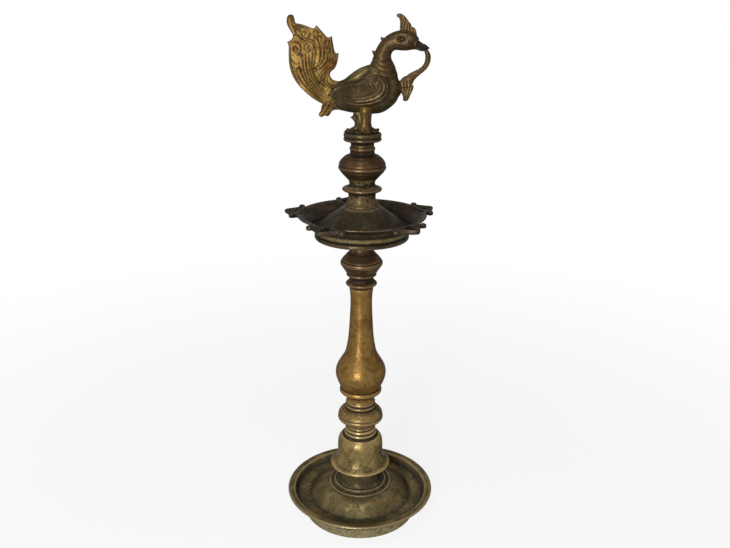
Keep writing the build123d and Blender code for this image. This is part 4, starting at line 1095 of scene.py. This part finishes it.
for across, height in ((20.0, 853.6), (33.4, 874.4)):
    spur_sections = [
        (across + 4.0, height - 3.4, 140, 6.2, 3.8), (across, height, 138, 4.6, 3.0),
        (across - 3.0, height + 2.4, 132, 2.6, 2.0), (across - 4.8, height + 4.2, 122, 1.1, 1.0),
    ]
    spurs.append(swept(spur_sections, caps=(1.0, 0.7), around=32, between=8))
make_piece("neck_and_head", *joined(neck_shell, *spurs), "finial", "aged_brass_neck", neck_brass)


# Eyes. A small almond boss in the hollow on each side of the head, of the same brass, painted dark
# as the shade in that hollow.
eye_sections = [
    (58.4, belly + 119.0, 2, 0.7, 1.3), (60.4, belly + 119.3, 0, 1.9, 2.3),
    (62.6, belly + 119.4, 0, 2.3, 2.6), (64.8, belly + 119.1, -4, 1.8, 2.2),
    (66.6, belly + 118.6, -8, 0.7, 1.2),
]
eye_shell = swept(eye_sections, (), caps=(0.6, 0.6), around=40, between=6, aside=-9.9)
# The eyes' dark colour is painted shade of the eye hollows.
eye_painted_shade_brass = bird_brass(
    "eye_painted_shade_brass", (0.0533, 0.04, 0.0248), (0.021, 0.0176, 0.0134), (0.0096, 0.0086, 0.0077),
    share=0.35, shine=0.32,
)
make_piece("eyes", *joined(eye_shell, mirrored(eye_shell)), "finial", "dark_brass_eyes", eye_painted_shade_brass)


# Beak. Closed on the vine, with the line of the mouth cut along each side and a small hook at the tip. It
# is the greyest brass on the bird.
beak_sections = [
    (82.5, belly + 111.6, -14, 8.6, 7.2), (87.5, belly + 110.2, -20, 7.4, 6.2),
    (92.5, belly + 107.6, -22, 6.4, 5.2), (97.5, belly + 106.2, -24, 6.0, 4.2),
    (101.6, belly + 105.4, -24, 4.2, 3.2), (104.8, belly + 105.6, -16, 2.0, 1.7),
]
beak_strokes = [
    (-0.7, 0.7, [(80, 864.6), (88, 865.6), (95, 862.8), (101, 861.6), (106, 863)]),
    (0.5, 0.9, [(84, 862.4), (91, 861.8), (97, 858.6)]),
    (-0.5, 0.8, [(87.6, 870), (89.4, 869.4), (91.6, 868.2)]),
]
beak_brass = bird_brass(
    "beak_brass", (0.0533, 0.0462, 0.0355), (0.0252, 0.0227, 0.0193), (0.0115, 0.0115, 0.0106), share=0.35
)
beak_shell = swept(beak_sections, beak_strokes, caps=(1.0, 1.6), around=72, between=12)
make_piece("beak", *beak_shell, "finial", "dark_brass_beak", beak_brass)


# Crest. A flame of feathers on the head: the tip curls back, and the front edge comes down in steps. It
# is a thin plate in the bird's middle plane, with the same carving on both faces.
crest_outline = [
    (57.5, 886), (58.6, 896), (58.2, 905), (56.6, 909.2), (52.4, 910.6), (53, 914.2), (57.4, 916.0),
    (63, 914), (69.4, 908), (73.4, 901.8), (76, 900.4), (76.4, 896.8), (79.4, 894.6), (82.4, 894),
    (85.2, 888), (86.4, 879.5), (84, 875), (72, 879), (60, 880),
]
crest_strokes = [
    (-0.7, 0.8, [(60.6, 889), (61.8, 898), (60.6, 907), (57, 912)]),
    (-0.7, 0.8, [(64.4, 888), (66.4, 897), (64.8, 906), (60, 912.6)]),
    (-0.7, 0.8, [(69, 887), (71, 894), (70, 901), (66, 908)]),
    (-0.7, 0.8, [(74, 886), (76, 891), (74.4, 897)]),
    (-0.6, 0.8, [(78.6, 884), (81, 888), (80, 892)]),
    (0.4, 1.2, [(62.6, 890), (64.2, 899), (62.6, 908)]),
    (0.4, 1.2, [(66.8, 889), (68.8, 897), (67.4, 904)]),
    (0.6, 1.0, [(60, 887.6), (70, 887), (79, 883.6), (84, 878.6)]),
]
crest_brass = bird_brass(
    "crest_brass", (0.0936, 0.06, 0.0252), (0.0408, 0.0282, 0.0144), (0.0132, 0.0108, 0.0084), share=0.5
)
crest_shell = carved_plate(crest_outline, crest_strokes, 4.4, pitch=0.6, edge=1.6, swell=1.2, sharpness=0.45)
make_piece("crest", *crest_shell, "finial", "golden_brass_crest", crest_brass)


# Tail. A broad upright fan cast as one plate and chased on both faces: long flutes sweep up from the
# root, a comma scroll fills the middle, and smaller curls follow the spurred border.
tail_outline = [
    (-66.5, 773), (-75, 777.2), (-85, 783.6), (-95.5, 792.6), (-106.6, 803.6), (-115.4, 818), (-119.6, 832),
    (-120.6, 850), (-119.6, 865), (-122.4, 870.4), (-122.4, 870.4), (-116.4, 873), (-113.2, 876.4),
    (-112.4, 881.6), (-117.6, 889), (-122.4, 898), (-122.6, 907), (-118.6, 912.6), (-111.4, 912.4),
    (-109.4, 905), (-108.6, 899), (-101, 898.4), (-92, 896), (-78.8, 890.2), (-75.2, 896.6), (-75.2, 896.6),
    (-64.6, 885.8), (-57, 876.6), (-50.2, 880.2), (-50.2, 880.2), (-48.4, 868), (-45.4, 853),
    (-39.2, 854.2), (-39.2, 854.2), (-41.2, 840), (-45.6, 829), (-52.4, 825), (-54.4, 819), (-50, 812),
    (-44, 810), (-36, 809.6), (-28, 811.5), (-32, 772), (-48, 766),
]
tail_grooves = [
    [(-77, 846), (-75.6, 857), (-78, 867), (-84, 871.4), (-90.4, 870), (-94.6, 864), (-93.8, 858),
        (-89.6, 854.6)],
    [(-89.6, 854.6), (-85, 856.4), (-84.4, 860.4), (-81.6, 862.6), (-78.6, 860)],
    [(-77, 846), (-78.4, 836), (-80.6, 828), (-78, 817), (-71, 807), (-61, 800)],
    [(-86.4, 853), (-86.6, 842), (-86.4, 832), (-85.4, 821), (-80, 810), (-71, 800), (-60, 793)],
    [(-80.8, 858), (-80.8, 848), (-82.4, 838), (-83, 828), (-79.6, 817), (-73, 806), (-62, 797.5)],
    [(-92, 852), (-92.2, 842), (-91.2, 830), (-88.4, 818), (-82.6, 806.5), (-73, 796.4), (-60, 789)],
    [(-97.4, 850), (-98, 840), (-96.6, 828), (-92.6, 816), (-86, 804), (-76.5, 794), (-64, 785.4)],
    [(-103, 842), (-102.4, 831), (-98.6, 819), (-91, 805), (-81, 793.4), (-70, 785)],
    [(-112, 834), (-108.4, 823), (-102, 811.4), (-92.6, 800), (-82, 790), (-70, 780)],
    [(-104.6, 859), (-106.8, 863.8), (-111, 863.6), (-112.8, 859.4), (-110.4, 855), (-106, 855.4)],
    [(-102.6, 851.4), (-99.4, 857), (-99.4, 864), (-103.4, 869), (-109, 871), (-115, 869)],
    [(-116.8, 866), (-117.6, 850), (-116.2, 834), (-111.4, 818), (-102.6, 804.6)],
    [(-100, 846), (-97.6, 849.4), (-99.8, 853), (-104, 852.4), (-105.6, 848.6)],
    [(-116, 844), (-112.6, 838.4), (-107.4, 835.8), (-102.4, 837.4)],
    [(-100.6, 824), (-99.8, 828.4), (-103, 831), (-107.2, 829), (-107.6, 824.4), (-104.4, 821.4)],
    [(-113.6, 878), (-109, 882), (-104, 880.6), (-99, 875), (-92.6, 873.6)],
    [(-101, 883), (-99.4, 887.4), (-102.6, 891.6), (-107.4, 890.4), (-108.8, 885.6), (-105.6, 883)],
    [(-117.4, 903), (-115.6, 896), (-110.6, 893.6), (-103, 895), (-94, 892.8), (-84, 889.6)],
    [(-94, 880), (-91.6, 883.6), (-93.6, 887.6), (-97.4, 886.6), (-98.8, 881.6), (-96, 876)],
    [(-96, 876), (-90, 876.4), (-85, 880), (-83.4, 886)],
    [(-95.6, 869.6), (-90, 874.4), (-83.6, 875), (-77.4, 871.4), (-73.6, 864)],
    [(-72, 882.4), (-70.6, 886.6), (-74.4, 889.6), (-79, 887), (-79.6, 882), (-76.4, 877.4), (-72, 874)],
    [(-67, 872.6), (-65.4, 877), (-68, 880.6), (-72, 879), (-72.8, 873.6), (-69.4, 867)],
    [(-69.4, 867), (-67.6, 856), (-68.6, 845), (-72.6, 834), (-77.4, 828)],
    [(-54.6, 866), (-52.4, 870.4), (-55.4, 874.6), (-59.8, 873), (-61, 867.4), (-58, 861)],
    [(-62.6, 868), (-61.6, 857), (-62.6, 847), (-67, 837), (-75, 829.6)],
    [(-54, 854.6), (-51.8, 858.6), (-54, 862), (-58, 861), (-58.8, 856)],
    [(-56.4, 852), (-55.6, 845), (-59.4, 837.6), (-66, 831), (-74, 826)],
    [(-50, 873), (-48, 862), (-46.6, 852)],
    [(-49.4, 836.6), (-46.6, 840), (-48.6, 843.8), (-52.8, 843), (-53.6, 838.8)],
    [(-45, 848), (-42.6, 851), (-43, 842), (-46.6, 833), (-53, 828.6)],
    [(-54, 834.6), (-61, 829.4), (-69, 822), (-73.6, 812), (-70, 803)],
    [(-52, 830), (-60, 824), (-66.8, 815.6), (-67.8, 806), (-60, 799)],
    [(-56.4, 823.6), (-61.4, 816.6), (-63, 808), (-57, 801.4), (-48, 797)],
    [(-56.6, 815), (-58.4, 809), (-53, 803.4), (-44, 800)],
    [(-84.6, 824), (-82.4, 829), (-78, 831), (-74.4, 828.6), (-75.4, 825)],
]
tail_ridges = [
    (0.8, 2.4, [(-82, 860), (-80.6, 866), (-86, 868.6), (-91, 864.6), (-91.4, 859.4)]),
    (0.5, 1.7, [(-83.6, 852), (-84, 842), (-84.6, 832), (-82.6, 820), (-76.4, 808), (-66, 799)]),
    (0.5, 1.7, [(-89.2, 850), (-89.4, 840), (-88.6, 829), (-85.4, 817), (-79, 805), (-68, 795)]),
    (0.45, 1.6, [(-94.8, 849), (-95, 839), (-93.6, 828), (-90, 816), (-84, 804), (-74, 794)]),
    (0.45, 1.4, [(-56, 831), (-63.4, 826), (-70, 819), (-73, 810)]),
    (0.45, 1.4, [(-54, 827), (-62, 820.6), (-66.4, 812), (-65, 804)]),
    (0.4, 1.8, [(-71, 860), (-70.6, 850), (-72.6, 840), (-77, 832)]),
    (0.4, 1.6, [(-65, 862), (-64.8, 850), (-68, 840), (-75, 832)]),
    (0.7, 2.6, [(-116.4, 907), (-117.4, 900), (-114, 892), (-110, 886)]),
    (0.6, 1.3, [(-109.8, 859.4), (-108.4, 860.6), (-107, 859.6)]),
    (0.6, 1.2, [(-102.4, 849), (-101.6, 849.8), (-100.9, 849.4)]),
    (0.6, 1.2, [(-105, 887), (-104, 888), (-103, 887.2)]),
    (0.6, 1.2, [(-75.6, 884), (-74.8, 885), (-74, 884.4)]),
]
tail_strokes = [(-0.62, 0.85, line) for line in tail_grooves] + tail_ridges
tail_brass = aged_brass(
    "tail_brass",
    (0.0956, 0.0586, 0.0171),
    (0.0405, 0.0245, 0.0094),
    (0.0158, 0.0115, 0.0076),
    share=0.55,
    blotch=30,
    shine=0.32,
    pits=0.2,
    edges=0.4,
    stain=0.65,
)
tail_shell = carved_plate(tail_outline, tail_strokes, 4.4, pitch=0.6, edge=1.7, swell=0.4, sharpness=0.65)
make_piece("tail_fan", *tail_shell, "finial", "golden_brass_tail", tail_brass)


# Tuft. Short feathers that hang under the tail's root in two curled ends: a thick plate in the same plane
# as the tail, with the same carving on both faces.
tuft_outline = [
    (-66.8, 774), (-68.6, 766), (-69.4, 761), (-73, 757.4), (-71.6, 751.8), (-66.8, 751.4), (-62.4, 754.6),
    (-59, 752.2), (-54.6, 754.4), (-51.8, 760.4), (-46.6, 763.8), (-36, 763), (-30, 778), (-50, 782),
]
tuft_strokes = [
    (0.7, 1.3, [(-54, 779), (-59.6, 768), (-67.6, 757)]),
    (-0.8, 0.9, [(-58, 779), (-63.4, 769), (-69.6, 759.6)]),
    (-0.8, 0.9, [(-50, 779), (-55.6, 767), (-62.6, 756.6)]),
    (-0.8, 0.9, [(-45, 777), (-50.6, 767.4), (-56.6, 757.4)]),
    (0.5, 1.3, [(-47.6, 777), (-53.2, 767), (-59, 757)]),
    (-0.7, 0.9, [(-38, 772), (-45, 767.4), (-51, 762.4)]),
]
tuft_shell = carved_plate(tuft_outline, tuft_strokes, 7.0, pitch=0.7, edge=2.6, sharpness=0.5)
make_piece("tail_tuft", *tuft_shell, "finial", "golden_brass_tail", tail_brass)


# Vine and flower. The stem hangs from the beak, curves back to the breast and opens into a drooping
# flower; fluted along its length.
vine_sections = [
    (101.4, belly + 101.8, -62, 3.2, 3.2), (104.2, belly + 96.0, -80, 4.2, 3.8),
    (104.9, belly + 89.0, -92, 4.5, 3.9), (103.2, belly + 81.6, -108, 4.4, 3.7),
    (98.8, belly + 74.8, -128, 4.2, 3.5), (92.0, belly + 69.2, -143, 4.5, 3.5),
    (84.6, belly + 64.4, -146, 5.6, 3.9), (78.6, belly + 59.6, -138, 7.0, 4.3),
    (74.4, belly + 53.6, -122, 8.2, 4.6),
]
vine_strokes = [
    (-0.6, 0.8, [(105.6, 856), (107.2, 848), (105, 838), (98, 829.4), (88, 822.4), (80, 815.4), (75, 808)]),
    (-0.5, 0.8, [(102.4, 852), (102.6, 844), (99.4, 835.6), (91, 827.4), (80, 820.8), (72, 812)]),
    (0.4, 1.1, [(104.2, 854), (105, 846), (102.4, 837), (94.6, 828.6), (84, 821.6), (76, 812)]),
]
vine_brass = bird_brass(
    "vine_brass", (0.096, 0.0624, 0.0264), (0.0444, 0.03, 0.015), (0.0156, 0.012, 0.0086), share=0.5
)
vine_shell = swept(vine_sections, vine_strokes, caps=(1.6, 2.6), around=72, between=12, sharpness=0.5)
make_piece("vine", *vine_shell, "finial", "golden_brass_vine", vine_brass)
flower_outline = [
    (61.5, 813), (66, 817.6), (72, 820), (78.4, 814), (80.8, 809), (80.4, 805.6), (83.2, 803),
    (82.4, 797.6), (78.8, 790), (75, 780.4), (70.6, 777.8), (65.6, 779.8), (66.2, 785.4), (63, 792),
    (58, 797), (57, 806),
]
flower_strokes = [
    (-0.9, 0.9, [(71.6, 817), (72.4, 806), (71, 794), (70, 782)]),
    (-0.8, 0.9, [(76.4, 813), (78.2, 804), (76.4, 794), (73.4, 784)]),
    (-0.8, 0.9, [(66.6, 815), (67.6, 805), (67, 795), (67.4, 785)]),
    (0.6, 1.5, [(74.4, 812), (75.6, 803), (73.6, 792)]),
    (0.6, 1.5, [(69.4, 813), (70, 803), (69, 792)]),
    (-0.7, 0.8, [(81, 805.4), (77.6, 801.6), (73, 800.4), (67, 801.4), (62, 798)]),
]
flower_shell = carved_plate(
    flower_outline, flower_strokes, 6.4, pitch=0.6, edge=2.4, swell=1.4, sharpness=0.4
)
make_piece("flower_pendant", *flower_shell, "finial", "golden_brass_vine", vine_brass)


# The studio: a plain pale floor, a tall narrow soft lamp in front and to the left, a weaker one overhead,
# and the camera.
def backdrop_share(tree):
    """1 for the rays that see the background itself: camera, glossy and transmission rays."""
    path = put(tree, "ShaderNodeLightPath")
    seen = put(tree, "ShaderNodeMath", operation="MAXIMUM")
    both = put(tree, "ShaderNodeMath", operation="MAXIMUM")
    tree.links.new(path.outputs["Is Camera Ray"], seen.inputs[0])
    tree.links.new(path.outputs["Is Glossy Ray"], seen.inputs[1])
    tree.links.new(seen.outputs[0], both.inputs[0])
    tree.links.new(path.outputs["Is Transmission Ray"], both.inputs[1])
    return both.outputs[0]


floor_mesh = bpy.data.meshes.new("floor")
floor_mesh.from_pydata([(-9, -9, 0), (9, -9, 0), (9, 9, 0), (-9, 9, 0)], [], [(0, 1, 2, 3)])
floor = bpy.data.objects.new("floor", floor_mesh)
bpy.context.scene.collection.objects.link(floor)
floor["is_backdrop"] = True
floor_paint = bpy.data.materials.new("floor_paint")
floor_paint.use_nodes = True
tree = floor_paint.node_tree
tree.nodes.clear()
matt = put(tree, "ShaderNodeBsdfDiffuse")
shade = put(tree, "ShaderNodeMix", data_type="RGBA", in_6=(0.2, 0.2, 0.2, 1), in_7=(0.86, 0.86, 0.86, 1))
tree.links.new(backdrop_share(tree), shade.inputs[0])
tree.links.new(shade.outputs[2], matt.inputs["Color"])
white = put(tree, "ShaderNodeEmission", in_Color=(1, 1, 1, 1), in_Strength=1.0)
place = put(tree, "ShaderNodeTexCoord").outputs["Object"]
reach = put(tree, "ShaderNodeVectorMath", operation="LENGTH")
tree.links.new(place, reach.inputs[0])
fading = put(
    tree, "ShaderNodeMapRange", interpolation_type="SMOOTHSTEP", in_1=0.3, in_2=1.8, in_3=0.87, in_4=1.0
)
tree.links.new(reach.outputs["Value"], fading.inputs[0])
share = put(tree, "ShaderNodeMath", operation="MULTIPLY")
tree.links.new(backdrop_share(tree), share.inputs[0])
tree.links.new(fading.outputs[0], share.inputs[1])
mixed = put(tree, "ShaderNodeMixShader")
tree.links.new(share.outputs[0], mixed.inputs[0])
tree.links.new(matt.outputs[0], mixed.inputs[1])
tree.links.new(white.outputs[0], mixed.inputs[2])
tree.links.new(mixed.outputs[0], put(tree, "ShaderNodeOutputMaterial").inputs["Surface"])
floor_mesh.materials.append(floor_paint)

world = bpy.data.worlds.new("studio")
bpy.context.scene.world = world
world.use_nodes = True
tree = world.node_tree
tree.nodes.clear()
room = put(tree, "ShaderNodeBackground", in_Color=(1, 1, 1, 1), in_Strength=0.05)
plain = put(tree, "ShaderNodeBackground", in_Color=(1, 1, 1, 1), in_Strength=1.0)
mixed = put(tree, "ShaderNodeMixShader")
tree.links.new(backdrop_share(tree), mixed.inputs[0])
tree.links.new(room.outputs[0], mixed.inputs[1])
tree.links.new(plain.outputs[0], mixed.inputs[2])
tree.links.new(mixed.outputs[0], put(tree, "ShaderNodeOutputWorld").inputs["Surface"])


def soft_lamp(name, place, aim, width, height, power):
    """Rectangular lamp at a place, turned to face the aim."""
    lamp = bpy.data.lights.new(name, "AREA")
    lamp.shape = "RECTANGLE"
    lamp.size = width
    lamp.size_y = height
    lamp.energy = power
    holder = bpy.data.objects.new(name, lamp)
    bpy.context.scene.collection.objects.link(holder)
    back = np.array(place) - np.array(aim)
    turn = math.atan2(back[0], -back[1])
    tilt = math.atan2(math.hypot(back[0], back[1]), back[2])
    holder.location = place
    holder.rotation_euler = (tilt, 0, turn)
    return holder


soft_lamp("key_lamp", (-0.56, -1.97, 0.7), (0, 0, 0.42), 0.34, 1.35, 44)
soft_lamp("top_lamp", (-0.3, -0.8, 2.3), (0, 0, 0.3), 1.0, 1.0, 15)

camera_data = bpy.data.cameras.new("camera")
camera_data.sensor_width = 36
camera_data.lens = 38.96
camera_data.clip_start = 0.05
camera = bpy.data.objects.new("camera", camera_data)
bpy.context.scene.collection.objects.link(camera)
camera.location = (0.0062, -1.3207, 0.9312)
looking_down, leaning = math.radians(18.96), math.radians(0.515)
tilted = Euler((math.pi / 2 - looking_down, 0, 0)).to_matrix()
camera.rotation_euler = (tilted @ Matrix.Rotation(leaning, 3, "Z")).to_euler()
bpy.context.scene.camera = camera
bpy.context.scene.view_settings.view_transform = "Standard"

low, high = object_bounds()
